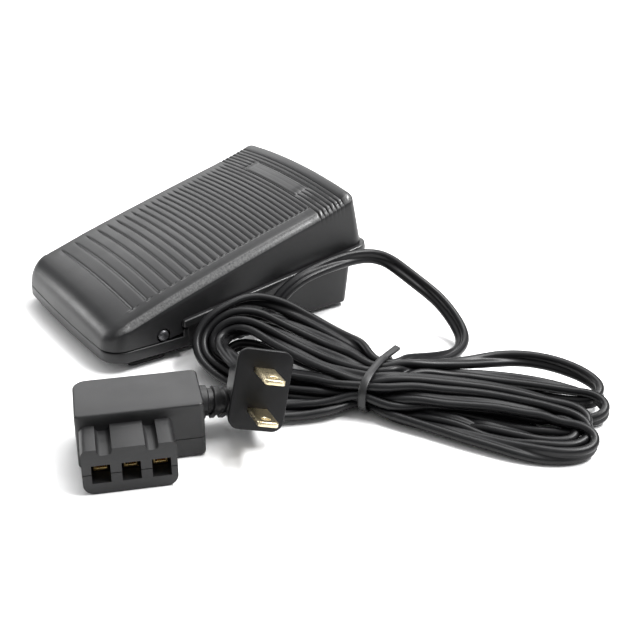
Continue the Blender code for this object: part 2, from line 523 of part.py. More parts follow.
# the plate was drawn lying flat, so it is stood up: its thickness runs along the plug's own Y
plug_body.rotation_euler = (math.radians(90), 0, 0)
plug_body.location = (0, 3.0 * MM, 0)
core = box(-8.2, 8.2, 2.4, 15.0, -7.4, 7.4, corner=1.2, corner_steps=2)
for v in core.verts:
    back = clamp01((v.co.y - 2.4) / 12.6)
    v.co = (v.co.x * (1 - 0.07 * back), v.co.y, v.co.z * (1 - 0.38 * back))
join(plug_body, "plug_core", core, at=plug)
for name, z in (("upper", 6.35), ("lower", -6.35)):
    cut(plug_body, "blade_slot_" + name, box(-3.5, 3.5, -1, 2.8, z - 1.05, z + 1.05), at=plug)
    from_bmesh("plug_blade_" + name, box(-3.175, 3.175, -15.2, 2.6, z - 0.75, z + 0.75), BRASS, at=plug)
turned("plug_boot", [(0, 0), (4.6, 0), (4.6, -2.0), (3.7, -2.4), (3.7, -4.0), (4.3, -4.4), (4.3, -6.0), (3.4, -6.4), (3.4, -8.0), (3.0, -12.0), (0, -12.0)],
       PLUG_BLACK, at=plug, location=(0, 15.3, 0), rotation=(90, 0, 0), steps=18)
tube("plug_cord", smooth_path([(78.4, -24.0, 12.55), (75.9, -23.2, 11.9), (73.4, -22.1, 11.0)], 4), CORD_R, CORD_BLACK, resolution=2)

# ---- hank: the outer shape of the wound cords ----
# stations along the hank's own line: distance from the tie, middle and half width across,
# then bottom and top at the near edge and at the far edge
HANK = (
    (-66.5, -1.0, 5.0, 6.0, 10.5, 8.0, 13.0), (-63.5, -0.4, 10.5, 3.0, 10.0, 9.0, 18.5), (-57.0, 1.6, 16.0, 0.6, 8.6, 12.0, 22.6),
    (-46.0, 1.6, 19.4, 0.3, 7.4, 12.0, 22.6), (-34.0, 0.6, 20.0, 0.3, 7.0, 8.0, 21.0), (-20.0, 0.0, 17.2, 0.3, 9.4, 3.5, 18.0),
    (-8.0, 0.0, 13.4, 0.6, 12.4, 0.6, 14.4), (-2.6, 0.0, 11.6, 1.3, 13.0, 1.3, 13.0), (2.6, 0.0, 11.6, 1.3, 13.0, 1.3, 13.0),
    (10.0, 0.6, 13.0, 0.6, 12.4, 0.6, 14.0), (22.0, 2.8, 17.4, 0.3, 10.0, 0.3, 13.4), (38.0, 7.6, 25.4, 0.3, 8.0, 0.3, 13.0),
    (54.0, 7.4, 27.4, 0.3, 7.0, 0.3, 12.0), (66.0, 6.6, 22.4, 0.3, 6.6, 0.3, 10.6), (72.4, 4.6, 14.0, 0.6, 6.0, 1.0, 8.6),
    (75.4, 2.4, 6.0, 1.6, 5.0, 2.0, 6.0),
)
hank = cylinder(1.0, 0, len(HANK) - 1, steps=20)
slice_at(hank, zs=[k for k in range(1, len(HANK) - 1)])
along_x, along_y = math.cos(math.radians(TIE_TURN)), math.sin(math.radians(TIE_TURN))
for v in hank.verts:
    s, mid, half, low_near, high_near, low_far, high_far = HANK[int(round(v.co.z))]
    u, w = v.co.x, v.co.y
    fat = 1.0 / max(1e-6, (abs(u) ** 2.6 + abs(w) ** 2.6) ** (1 / 2.6))
    u, w = u * fat, w * fat
    far = (u + 1) / 2
    low = low_near + (low_far - low_near) * far
    high = high_near + (high_far - high_near) * far
    a = mid + half * u
    v.co = (TIE_AT[0] + along_x * s - along_y * a, TIE_AT[1] + along_y * s + along_x * a, (low + high) / 2 + (high - low) / 2 * w)
from_bmesh("cord_hank", hank, CORD_BLACK, sharp=50)

# ---- tie round the hank ----
tie_frame = bpy.data.objects.new("tie_frame", None)
PARTS.objects.link(tie_frame)
tie_frame.location = Vector(TIE_AT) * MM
tie_frame.rotation_euler = (0, 0, math.radians(TIE_TURN))


def oval(half_w, half_h, half_len):
    bm = cylinder(1.0, -half_len, half_len, 0, 0, steps=28, axis="X")
    for v in bm.verts:
        u, w = v.co.y, v.co.z
        fat = 1.0 / (abs(u) ** 2.6 + abs(w) ** 2.6) ** (1 / 2.6)
        v.co.y, v.co.z = half_w * u * fat, half_h * w * fat
    return bm


tie = from_bmesh("cord_tie", oval(13.0, 6.95, 1.35), PLUG_BLACK, at=tie_frame)
cut(tie, "tie_bore", oval(12.0, 6.05, 6.0), at=tie_frame)
tab = box(-1.3, 1.3, 0, 7.0, -0.5, 0.5)
bmesh.ops.rotate(tab, verts=tab.verts, cent=(0, 0, 0), matrix=Matrix.Rotation(math.radians(20), 3, "X"))
bmesh.ops.translate(tab, verts=tab.verts, vec=(0, 7.6, 5.9))
join(tie, "tie_tail", tab, at=tie_frame)
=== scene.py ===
import math

import bmesh
import bpy
import numpy as np
from mathutils import Euler, Matrix, Vector


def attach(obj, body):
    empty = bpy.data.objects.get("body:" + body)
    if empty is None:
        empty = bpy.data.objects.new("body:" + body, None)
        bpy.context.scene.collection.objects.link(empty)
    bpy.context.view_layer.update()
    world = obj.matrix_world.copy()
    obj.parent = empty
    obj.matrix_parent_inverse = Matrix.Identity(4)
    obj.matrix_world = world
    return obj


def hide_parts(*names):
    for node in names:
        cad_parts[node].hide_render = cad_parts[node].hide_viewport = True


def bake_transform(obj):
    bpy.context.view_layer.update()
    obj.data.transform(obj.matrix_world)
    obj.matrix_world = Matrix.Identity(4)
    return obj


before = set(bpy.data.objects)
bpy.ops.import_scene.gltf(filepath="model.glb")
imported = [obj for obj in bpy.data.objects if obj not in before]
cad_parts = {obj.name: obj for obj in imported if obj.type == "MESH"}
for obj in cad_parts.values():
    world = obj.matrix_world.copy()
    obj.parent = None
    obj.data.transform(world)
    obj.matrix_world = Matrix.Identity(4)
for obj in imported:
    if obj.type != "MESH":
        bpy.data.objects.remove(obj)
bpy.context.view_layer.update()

MM = 0.001

# ------------------------------------------------------------------ design sizes, mm
COVER_HALF_W = 39.2
COVER_Y0, COVER_Y1 = -54.2, 54.0
COVER_WALL, COVER_ROOF = 2.0, 2.2
TOP_Z, TOP_SLOPE, TOP_CURVE, TOP_CROWN = 34.0, 0.292, 0.000312, 1.5
PIVOT_Y, PIVOT_Z = -33.1, 10.5
TILT = 0.1467
RIM_Z_FRONT, RIM_Z_STEP, RIM_STEP_Y = 8.5, 12.1, -25.6
SILL_Z0, SILL_Z1 = 3.9, 8.0
BOX_HALF_W, BOX_Y0, BOX_Y1 = 36.0, -50.0, 48.0
BOX_Z0, BOX_FLOOR = 1.5, 2.2
SPRING_X, SPRING_Y, PLUNGER_Y = 22.0, 33.0, 8.0
CONNECTOR_AT, CONNECTOR_TURN = (103.9, -76.5, 0.0), 68.7
PLUG_AT, PLUG_TURN = (104.0, -32.5, 19.3), (-14.46, 13.36, 68.2)
TIE_AT, TIE_TURN = (102.2, 12.6, 7.2), 32.0
BOW_FRONT, BOW_REAR = 1.0, 0.5
CORE_R = 1.42  # radius of one core of the flat twin cord

MODEL = bpy.data.collections.new("model")
TOOLS = bpy.data.collections.new("cutters")
bpy.context.scene.collection.children.link(MODEL)
bpy.context.scene.collection.children.link(TOOLS)
TOOLS.hide_render = True


# ------------------------------------------------------------------ materials
class Nodes:
    """Short hand for building a node tree."""

    def __init__(self, name):
        self.mat = bpy.data.materials.new(name)
        self.mat.use_nodes = True
        self.tree = self.mat.node_tree
        self.shader = self.tree.nodes["Principled BSDF"]
        coord = self.tree.nodes.new("ShaderNodeTexCoord")
        self.at = coord.outputs["Object"]

    def put(self, kind, **values):
        node = self.tree.nodes.new(kind)
        for key, value in values.items():
            setattr(node, key, value)
        return node

    def link(self, a, b):
        self.tree.links.new(a, b)

    def noise(self, scale, detail=3.0, rough=0.5, stretch=None):
        src = self.at
        if stretch is not None:
            m = self.put("ShaderNodeMapping")
            m.inputs["Scale"].default_value = stretch
            self.link(self.at, m.inputs["Vector"])
            src = m.outputs["Vector"]
        n = self.put("ShaderNodeTexNoise")
        n.inputs["Scale"].default_value = scale
        n.inputs["Detail"].default_value = detail
        n.inputs["Roughness"].default_value = rough
        self.link(src, n.inputs["Vector"])
        return n.outputs["Fac"]

    def remap(self, value, a, b, c, d):
        n = self.put("ShaderNodeMapRange")
        n.inputs["From Min"].default_value = a
        n.inputs["From Max"].default_value = b
        n.inputs["To Min"].default_value = c
        n.inputs["To Max"].default_value = d
        self.link(value, n.inputs["Value"])
        return n.outputs["Result"]

    def mix(self, fac, a, b):
        n = self.put("ShaderNodeMix", data_type="RGBA")
        n.inputs["A"].default_value = (*a, 1.0)
        n.inputs["B"].default_value = (*b, 1.0)
        self.link(fac, n.inputs["Factor"])
        return n.outputs["Result"]

    def bump(self, height, strength, distance, below=None):
        n = self.put("ShaderNodeBump")
        n.inputs["Strength"].default_value = strength
        n.inputs["Distance"].default_value = distance
        self.link(height, n.inputs["Height"])
        if below is not None:
            self.link(below, n.inputs["Normal"])
        return n.outputs["Normal"]


def plastic(name, colour, rough, spread=0.06, grain=2600.0, grain_depth=0.00002, grain_strength=0.35,
            swell=60.0, swell_depth=0.0002, lighter=1.35, spec=0.36, coat=0.0):
    """Moulded plastic: fine spark-eroded grain, slow flow waves, uneven gloss and a little dust."""
    n = Nodes(name)
    slow = n.noise(90.0, 4.0, 0.6)
    fine = n.noise(grain, 2.0, 0.6)
    waves = n.noise(swell, 2.0, 0.4)
    dust = n.noise(900.0, 5.0, 0.75)
    dusty = n.remap(dust, 0.62, 0.8, 0.0, 0.55)
    tint = n.mix(n.remap(slow, 0.3, 0.7, 0.0, 1.0), colour, tuple(min(1.0, c * lighter) for c in colour))
    speck = n.put("ShaderNodeMix", data_type="RGBA")
    n.link(dusty, speck.inputs["Factor"])
    n.link(tint, speck.inputs["A"])
    speck.inputs["B"].default_value = (*[min(1.0, c * 2.2 + 0.01) for c in colour], 1.0)
    n.link(speck.outputs["Result"], n.shader.inputs["Base Color"])
    n.link(n.remap(slow, 0.25, 0.75, rough - spread, rough + spread), n.shader.inputs["Roughness"])
    n.shader.inputs["Specular IOR Level"].default_value = spec
    n.shader.inputs["Coat Weight"].default_value = coat
    n.shader.inputs["Coat Roughness"].default_value = 0.25
    first = n.bump(waves, 0.25, swell_depth)
    n.link(n.bump(fine, grain_strength, grain_depth, first), n.shader.inputs["Normal"])
    return n.mat


def rubbed_edges_painted_highlight(mat, gloss, colour):
    """Long edges rubbed smooth by feet: glossier where the surface turns from top to side, and lighter there, partly
    scuffing and partly a painted highlight strip along the edge.
    """
    tree = mat.node_tree
    shader = tree.nodes["Principled BSDF"]
    geometry = tree.nodes.new("ShaderNodeNewGeometry")
    parts = tree.nodes.new("ShaderNodeSeparateXYZ")
    tree.links.new(geometry.outputs["Normal"], parts.inputs["Vector"])
    size = tree.nodes.new("ShaderNodeMath")
    size.operation = "ABSOLUTE"
    tree.links.new(parts.outputs["X"], size.inputs[0])
    both = tree.nodes.new("ShaderNodeMath")
    both.operation = "MULTIPLY"
    tree.links.new(size.outputs[0], both.inputs[0])
    tree.links.new(parts.outputs["Z"], both.inputs[1])
    mask = tree.nodes.new("ShaderNodeMapRange")
    mask.inputs["From Min"].default_value = 0.24
    mask.inputs["From Max"].default_value = 0.42
    tree.links.new(both.outputs[0], mask.inputs["Value"])
    rough_from = shader.inputs["Roughness"].links[0].from_socket
    blend = tree.nodes.new("ShaderNodeMix")
    blend.data_type = "FLOAT"
    tree.links.new(mask.outputs["Result"], blend.inputs["Factor"])
    tree.links.new(rough_from, blend.inputs["A"])
    blend.inputs["B"].default_value = gloss
    tree.links.new(blend.outputs["Result"], shader.inputs["Roughness"])
    # the lighter colour mixed in on the edge band is partly scuffing and partly a painted highlight strip
    base_from = shader.inputs["Base Color"].links[0].from_socket
    scuff_and_highlight_noise = tree.nodes.new("ShaderNodeTexNoise")
    scuff_and_highlight_noise.inputs["Scale"].default_value = 1400.0
    scuff_and_highlight_noise.inputs["Detail"].default_value = 3.0
    coord = tree.nodes.new("ShaderNodeTexCoord")
    tree.links.new(coord.outputs["Object"], scuff_and_highlight_noise.inputs["Vector"])
    worn = tree.nodes.new("ShaderNodeMath")
    worn.operation = "MULTIPLY"
    tree.links.new(scuff_and_highlight_noise.outputs["Fac"], worn.inputs[0])
    tree.links.new(mask.outputs["Result"], worn.inputs[1])
    tint = tree.nodes.new("ShaderNodeMix")
    tint.data_type = "RGBA"
    tree.links.new(worn.outputs[0], tint.inputs["Factor"])
    tree.links.new(base_from, tint.inputs["A"])
    tint.inputs["B"].default_value = (*colour, 1.0)
    tree.links.new(tint.outputs["Result"], shader.inputs["Base Color"])
    return mat


def metal(name, colour, rough, stretch=(1.0, 1.0, 14.0), worn=(0.4, 0.36, 0.3)):
    """Rolled or plated metal: fine drawn lines, tarnish in patches and uneven gloss."""
    n = Nodes(name)
    lines = n.noise(900.0, 3.0, 0.6, stretch)
    patch = n.noise(220.0, 5.0, 0.6)
    n.link(n.mix(n.remap(patch, 0.5, 0.8, 0.0, 0.6), colour, worn), n.shader.inputs["Base Color"])
    n.shader.inputs["Metallic"].default_value = 1.0
    n.link(n.remap(lines, 0.3, 0.7, rough * 0.7, rough * 1.4), n.shader.inputs["Roughness"])
    n.link(n.bump(lines, 0.25, 0.00001), n.shader.inputs["Normal"])
    return n.mat


def winding(name):
    """Enamelled copper wire, laid turn by turn; its colour runs from dark copper in the grooves to bright copper on the
    crests, a painted shade and painted highlight.
    """
    n = Nodes(name)
    turn_ridges_and_painted_shade = n.put("ShaderNodeTexWave")
    turn_ridges_and_painted_shade.bands_direction = "Z"
    turn_ridges_and_painted_shade.inputs["Scale"].default_value = 700.0
    turn_ridges_and_painted_shade.inputs["Distortion"].default_value = 0.6
    n.link(n.at, turn_ridges_and_painted_shade.inputs["Vector"])
    # painted shade in the grooves between turns and painted highlight on their crests
    n.link(n.mix(turn_ridges_and_painted_shade.outputs["Fac"], (0.35, 0.12, 0.04), (0.82, 0.4, 0.18)), n.shader.inputs["Base Color"])
    n.shader.inputs["Metallic"].default_value = 0.9
    n.shader.inputs["Roughness"].default_value = 0.32
    n.link(n.bump(turn_ridges_and_painted_shade.outputs["Fac"], 0.6, 0.00008), n.shader.inputs["Normal"])
    return n.mat


def circuit(name):
    """Solder resist over copper tracks."""
    n = Nodes(name)
    cells = n.put("ShaderNodeTexVoronoi", distance="CHEBYCHEV")
    cells.inputs["Scale"].default_value = 260.0
    n.link(n.at, cells.inputs["Vector"])
    tracks = n.remap(cells.outputs["Distance"], 0.32, 0.36, 0.0, 1.0)
    n.link(n.mix(tracks, (0.05, 0.19, 0.08), (0.09, 0.28, 0.12)), n.shader.inputs["Base Color"])
    n.shader.inputs["Roughness"].default_value = 0.35
    n.link(n.bump(tracks, 0.4, 0.00003), n.shader.inputs["Normal"])
    return n.mat


M_COVER = plastic("m_cover", (0.009, 0.009, 0.0095), 0.38, spread=0.05, spec=0.33, grain=1500, grain_depth=0.00003, grain_strength=0.45, swell=45.0, swell_depth=0.0003)
# the light grey is the edge band's colour: partly scuffing, partly a painted highlight strip
rubbed_edges_painted_highlight(M_COVER, 0.24, (0.16, 0.16, 0.16))
M_BASE = plastic("m_base", (0.008, 0.008, 0.0085), 0.38, spec=0.3, grain=2200, grain_strength=0.35)
M_LID = plastic("m_lid", (0.026, 0.026, 0.028), 0.5)
M_CONNECTOR = plastic("m_connector", (0.011, 0.011, 0.0115), 0.42, spec=0.32, grain=2000, grain_depth=0.00003, grain_strength=0.5)
M_PLUG = plastic("m_plug", (0.005, 0.005, 0.0055), 0.36, spec=0.2, grain=1500, grain_depth=0.00003, grain_strength=0.4)
M_BLADE_BODY = M_PLUG
M_CORD = plastic("m_cord", (0.0045, 0.0045, 0.005), 0.37, spec=0.24, spread=0.05, grain=1800, grain_depth=0.00001, grain_strength=0.25, swell=160.0,
                 swell_depth=0.00012, lighter=1.5)
M_CORD_2 = plastic("m_cord_second", (0.0052, 0.0052, 0.0057), 0.39, spec=0.25, spread=0.05, grain=1800, grain_depth=0.00001, grain_strength=0.25, swell=170.0,
                   swell_depth=0.00012, lighter=1.5)
M_TIE = plastic("m_tie", (0.012, 0.012, 0.0125), 0.40, grain=1800, grain_strength=0.3)
M_BOOT = plastic("m_boot", (0.009, 0.009, 0.0095), 0.48, grain=1500, grain_strength=0.4)
M_FOOT = plastic("m_foot", (0.02, 0.02, 0.02), 0.85, grain=1200, grain_depth=0.00006, grain_strength=0.7)
M_STEEL = metal("m_steel", (0.58, 0.58, 0.6), 0.26)
M_PIN = metal("m_pin", (0.09, 0.09, 0.095), 0.42, worn=(0.08, 0.08, 0.08))
M_BLADE = metal("m_blade", (0.76, 0.66, 0.44), 0.30, stretch=(12.0, 1.0, 1.0), worn=(0.70, 0.58, 0.36))
M_BRASS = metal("m_brass", (0.78, 0.56, 0.24), 0.28, worn=(0.45, 0.3, 0.12))
M_ALU = metal("m_aluminium", (0.76, 0.77, 0.78), 0.38, worn=(0.6, 0.6, 0.6))
M_NYLON = plastic("m_nylon", (0.75, 0.74, 0.69), 0.42, lighter=1.08, grain_strength=0.2)
M_CERAMIC = plastic("m_ceramic", (0.6, 0.48, 0.34), 0.75, lighter=1.15, grain=900, grain_depth=0.00006, grain_strength=0.6)
M_EPOXY = plastic("m_epoxy", (0.02, 0.02, 0.021), 0.6, grain=1500)
M_FILM = plastic("m_film", (0.7, 0.3, 0.06), 0.32, lighter=1.12, coat=0.4)
M_COPPER = winding("m_copper")
M_BOARD = circuit("m_board")


# ------------------------------------------------------------------ mesh helpers (mm in, metres out)
def put(name, data, mat, tool=False, matrix=None):
    obj = bpy.data.objects.new(name, data)
    (TOOLS if tool else MODEL).objects.link(obj)
    if tool:
        obj.hide_render = True
        obj.display_type = "WIRE"
    if mat is not None:
        data.materials.append(mat)
    if matrix is not None:
        obj.matrix_world = matrix
    return obj


def made(name, bm, mat, tool=False, matrix=None, sharp=35):
    bmesh.ops.recalc_face_normals(bm, faces=bm.faces)
    if bm.calc_volume(signed=True) < 0:
        bmesh.ops.reverse_faces(bm, faces=bm.faces)
    bmesh.ops.scale(bm, verts=bm.verts, vec=(MM, MM, MM))
    mesh = bpy.data.meshes.new(name)
    bm.to_mesh(mesh)
    bm.free()
    mesh.shade_smooth()
    mesh.set_sharp_from_angle(angle=math.radians(sharp))
    return put(name, mesh, mat, tool, matrix)


def box(x0, x1, y0, y1, z0, z1, corner=0.0, corner_steps=4, top=0.0, top_steps=3, bottom=0.0, rear=None, top_profile=0.5):
    bm = bmesh.new()
    bmesh.ops.create_cube(bm, size=1.0)
    bmesh.ops.scale(bm, verts=bm.verts, vec=(x1 - x0, y1 - y0, z1 - z0))
    bmesh.ops.translate(bm, verts=bm.verts, vec=((x0 + x1) / 2, (y0 + y1) / 2, (z0 + z1) / 2))
    middle = (y0 + y1) / 2
    for radius, sign in ((corner, -1), (corner if rear is None else rear, 1)):
        if radius:
            upright = [e for e in bm.edges if abs(e.verts[0].co.z - e.verts[1].co.z) > 1e-4 and all((v.co.y - middle) * sign > 0 for v in e.verts)
                       and abs(abs(e.verts[0].co.x - (x0 + x1) / 2) - (x1 - x0) / 2) < 1e-4 and abs(e.verts[0].co.y - e.verts[1].co.y) < 1e-4]
            bmesh.ops.bevel(bm, geom=upright, offset=radius, segments=corner_steps, profile=0.5, affect="EDGES")
    for radius, level in ((top, z1), (bottom, z0)):
        if radius:
            rim = [e for e in bm.edges if all(abs(v.co.z - level) < 1e-4 for v in e.verts)]
            bmesh.ops.bevel(bm, geom=rim, offset=radius, segments=top_steps, profile=top_profile if level == z1 else 0.5, affect="EDGES")
    return bm


def slice_at(bm, xs=(), ys=(), zs=()):
    for values, axis in ((xs, 0), (ys, 1), (zs, 2)):
        for value in values:
            co, no = Vector((0, 0, 0)), Vector((0, 0, 0))
            co[axis], no[axis] = value, 1.0
            bmesh.ops.bisect_plane(bm, geom=bm.verts[:] + bm.edges[:] + bm.faces[:], plane_co=co, plane_no=no)
    return bm


def prism(points, half, offset=0.0):
    bm = bmesh.new()
    face = bm.faces.new([bm.verts.new((offset - half, a, b)) for a, b in points])
    out = bmesh.ops.extrude_face_region(bm, geom=[face])
    bmesh.ops.translate(bm, verts=[g for g in out["geom"] if isinstance(g, bmesh.types.BMVert)], vec=(2 * half, 0, 0))
    return bm


def cylinder(radius, z0, z1, x=0.0, y=0.0, steps=48, axis="Z", radius_top=None):
    bm = bmesh.new()
    bmesh.ops.create_cone(bm, cap_ends=True, segments=steps, radius1=radius, radius2=radius if radius_top is None else radius_top,
                          depth=z1 - z0, matrix=Matrix.Translation((0, 0, (z0 + z1) / 2)))
    if axis == "X":
        bmesh.ops.rotate(bm, verts=bm.verts, cent=(0, 0, 0), matrix=Matrix.Rotation(math.pi / 2, 3, "Y"))
        bmesh.ops.translate(bm, verts=bm.verts, vec=(0, x, y))
    else:
        bmesh.ops.translate(bm, verts=bm.verts, vec=(x, y, 0))
    return bm


def boolean(obj, other, operation="DIFFERENCE"):
    mod = obj.modifiers.new(operation.lower() + "_" + other.name, "BOOLEAN")
    mod.operation = operation
    mod.solver = "EXACT"
    mod.object = other


def cut(obj, name, bm, matrix=None):
    boolean(obj, made(name, bm, None, tool=True, matrix=matrix))


def join(obj, name, bm, matrix=None):
    boolean(obj, made(name, bm, None, tool=True, matrix=matrix), "UNION")


def soften(obj, width, segments=2, angle=35):
    """Rounds the hard edges that are left."""
    bevel = obj.modifiers.new("soften", "BEVEL")
    bevel.width = width * MM
    bevel.segments = segments
    bevel.limit_method = "ANGLE"
    bevel.angle_limit = math.radians(angle)
    bevel.harden_normals = False
    bevel.use_clamp_overlap = True


def settled(obj, sharp=35):
    """Applies the modifiers, so that sharp edges are marked on the final mesh."""
    bpy.context.view_layer.update()
    mesh = bpy.data.meshes.new_from_object(obj.evaluated_get(bpy.context.evaluated_depsgraph_get()))
    obj.modifiers.clear()
    obj.data = mesh
    mesh.shade_smooth()
    mesh.set_sharp_from_angle(angle=math.radians(sharp))
    return obj


def lathe(name, profile, mat, matrix, steps=40, sharp=35):
    """A closed solid of revolution about its own Z; profile runs (radius, height)."""
    bm = bmesh.new()
    rings = []
    for r, z in profile:
        if r < 1e-6:
            rings.append([bm.verts.new((0, 0, z))])
        else:
            rings.append([bm.verts.new((r * math.cos(2 * math.pi * k / steps), r * math.sin(2 * math.pi * k / steps), z)) for k in range(steps)])
    for a, b in zip(rings, rings[1:]):
        for k in range(steps):
            j = (k + 1) % steps
            if len(a) == 1 and len(b) == 1:
                continue
            if len(a) == 1:
                bm.faces.new((a[0], b[k], b[j]))
            elif len(b) == 1:
                bm.faces.new((a[k], b[0], a[j]))
            else:
                bm.faces.new((a[k], b[k], b[j], a[j]))
    return made(name, bm, mat, matrix=matrix, sharp=sharp)


def frame_of(at, turn):
    rot = Euler([math.radians(a) for a in turn]).to_matrix().to_4x4()
    return Matrix.Translation(Vector(at) * MM) @ rot


def clamp01(v):
    return max(0.0, min(1.0, v))


# ------------------------------------------------------------------ treadle cover
def top_z(x, y):
    return TOP_Z + TOP_SLOPE * y - TOP_CURVE * y * y - TOP_CROWN * (x / 32.0) ** 2


def rim_z(y):
    return RIM_Z_STEP + TILT * (y - RIM_STEP_Y)


GROOVES = [-41.9]
while len(GROOVES) < 33:
    GROOVES.append(GROOVES[-1] + 2.1 + 4.1 * math.exp(-(len(GROOVES) - 1) / 4.8))
PANEL = (-19.0, 20.0, GROOVES[26] + 0.6, GROOVES[30] - 0.8)


def groove_depth(x, y):
    """Depth of the tread pattern under the smooth top."""
    depth = 0.0
    ax = abs(x)
    in_panel = PANEL[0] < x < PANEL[1]
    for k, gy in enumerate(GROOVES):
        if abs(y - gy) > 3.2:
            continue
        over_edge = k >= 26
        end = 31.6
        hook = 0.0
        if not over_edge and x > 0:
            if ax > end - 0.5:
                hook = 1.7 * clamp01((ax - end + 0.5) / 0.9) ** 2
        reach = 1.0
        if not over_edge and ax > end + 0.55:
            reach = 0.0
        if x < 0 and not over_edge:
            reach *= clamp01((34.5 - ax) / 5.0)
        if over_edge:
            reach *= clamp01((40.0 - ax) / 2.0)
        if in_panel and PANEL[2] < gy < PANEL[3]:
            continue
        d = (y - gy - hook) / 0.34
        if not over_edge and x > 0 and ax > end - 0.1:
            d = min(abs((ax - end - 0.15) / 0.32), 9.0) if gy - 0.2 < y < gy + 1.6 else 9.0
        depth = max(depth, reach * 0.42 * math.exp(-d * d))
    if PANEL[0] - 0.6 < x < PANEL[1] + 0.6 and PANEL[2] - 0.6 < y < PANEL[3] + 0.6:
        edge = min(abs(x - PANEL[0]), abs(x - PANEL[1]), abs(y - PANEL[2]), abs(y - PANEL[3]))
        depth = max(depth, 0.3 * math.exp(-((edge / 0.3) ** 2)))
    return depth


def plank_rise(x, y):
    """The planks between grooves are very slightly crowned."""
    for a, b in zip(GROOVES, GROOVES[1:]):
        if a <= y < b:
            t = (y - a) / (b - a)
            return 0.045 * math.sin(math.pi * t) ** 0.8 * clamp01((34.0 - abs(x)) / 3.0)
    return 0.0


def shape_cover(bm, roof, drop, keep, pattern=False):
    for v in bm.verts:
        x, y, z = v.co
        full = clamp01((z - keep) / (roof - keep)) if z > keep else 0.0
        if z > keep:
            z = top_z(x, y) - drop - (roof - z)
        above = max(0.0, z - 8.5 - TILT * max(0.0, y - PIVOT_Y))
        front, rear = clamp01((-y - 30) / 24), clamp01((y - 30) / 24)
        bow = 1 - min(1.0, (x / 36.0) ** 2)
        sink = 0.0
        if pattern and full > 0.25:
            sink = groove_depth(x, y) * clamp01((full - 0.46) / 0.2) - plank_rise(x, y) * clamp01((full - 0.8) / 0.2)
        side = 0.0
        if pattern and sink > 0 and abs(x) > 35 and full < 1:
            side = sink * 0.7
        v.co = (
            (x - math.copysign(side, x)) * (1 - 0.045 * above / COVER_HALF_W),
            y + 0.2 * (z - 8.5) * front - 0.2 * (z - 23.5) * rear - BOW_FRONT * bow * front + BOW_REAR * bow * rear,
            z - sink,
        )
    return bm


def enlarge_front(bm, radius, wanted):
    """Gives the front's top edge a larger rounding than the sides'."""
    for v in bm.verts:
        x, y, z = v.co
        if z < 40 - radius - 0.01 or y > COVER_Y0 + 12:
            continue
        # nearest point of the outline, and the way out from it
        cx, cy = COVER_HALF_W - 7.5, COVER_Y0 + 7.5
        if abs(x) > cx and y < cy:
            away = Vector((abs(x) - cx, y - cy))
            out, depth = away.normalized(), 7.5 - away.length
            out = Vector((math.copysign(out.x, x), out.y))
        elif y < cy:
            out, depth = Vector((0.0, -1.0)), y - COVER_Y0
        else:
            continue
        if depth > radius + 0.01:
            continue
        share = max(0.0, -out.y) ** 2
        grown = radius + (wanted - radius) * share
        turn = math.acos(clamp01(1 - (40 - z) / radius))
        shift = depth - grown * (1 - math.sin(turn))
        v.co = (x + out.x * shift, y + out.y * shift, 40 - grown * (1 - math.cos(turn)))
    return bm


rows = {-46.0, -44.0, 49.5, 50.3}
for a, b in zip(GROOVES, GROOVES[1:]):
    steps = max(1, int((b - a - 1.0) / 0.8))
    for k in range(steps + 1):
        rows.add(round(a + 0.5 + (b - a - 1.0) * k / max(1, steps), 3))
for g in GROOVES:
    for off in (-0.36, -0.18, 0.0, 0.18, 0.36):
        rows.add(round(g + off, 3))
    if g < GROOVES[26]:
        rows.add(round(g + 0.9, 3))
        rows.add(round(g + 1.4, 3))
rows |= {round(PANEL[2] - 0.3, 3), round(PANEL[2], 3), round(PANEL[2] + 0.3, 3), round(PANEL[3] - 0.3, 3), round(PANEL[3], 3), round(PANEL[3] + 0.3, 3)}
cols = [-36, -34.5, -33.6, -32, -30, -26, -22, PANEL[0] - 0.3, PANEL[0], PANEL[0] + 0.3, -15, -10, -5, 0, 5, 10, 15, PANEL[1] - 0.3, PANEL[1], PANEL[1] + 0.3,
        24, 27, 29.5, 30.7, 31.1, 31.4, 31.6, 31.75, 31.9, 32.1, 32.4, 33.0, 33.6]

skin = box(-COVER_HALF_W, COVER_HALF_W, COVER_Y0, COVER_Y1, 0, 40, corner=7.5, corner_steps=12, top=2.2, top_steps=8, rear=4.2, top_profile=0.34)
enlarge_front(skin, 2.2, 5.0)
slice_at(skin, xs=cols, ys=sorted(rows), zs=(34.6, 36.4))
cover = made("treadle_cover_shell", shape_cover(skin, 40, 0, 33, pattern=True), M_COVER, sharp=50)

flange = box(-COVER_HALF_W - 1.4, COVER_HALF_W + 1.4, RIM_STEP_Y, COVER_Y1 + 1.4, 0, 1)
rear_corners = [e for e in flange.edges if abs(e.verts[0].co.z - e.verts[1].co.z) > 0.5 and e.verts[0].co.y > 0]
bmesh.ops.bevel(flange, geom=rear_corners, offset=5.4, segments=10, profile=0.5, affect="EDGES")
slice_at(flange, xs=[-28, -14, 0, 14, 28], ys=[-15, -5, 5, 15, 25, 35, 44])
for v in flange.verts:
    x, y, z = v.co
    rear = clamp01((y - 30) / 24)
    z = rim_z(y) - 0.3 + 2.9 * z
    v.co = (x, y - 0.2 * (z - 23.5) * rear + BOW_REAR * (1 - min(1.0, (x / 36.0) ** 2)) * rear, z)
band = made("rim_band", flange, None, tool=True)
band_soft = band.modifiers.new("round", "BEVEL")
band_soft.width = 0.55 * MM
band_soft.segments = 4
band_soft.limit_method = "ANGLE"
band_soft.angle_limit = math.radians(50)
boolean(cover, band, "UNION")

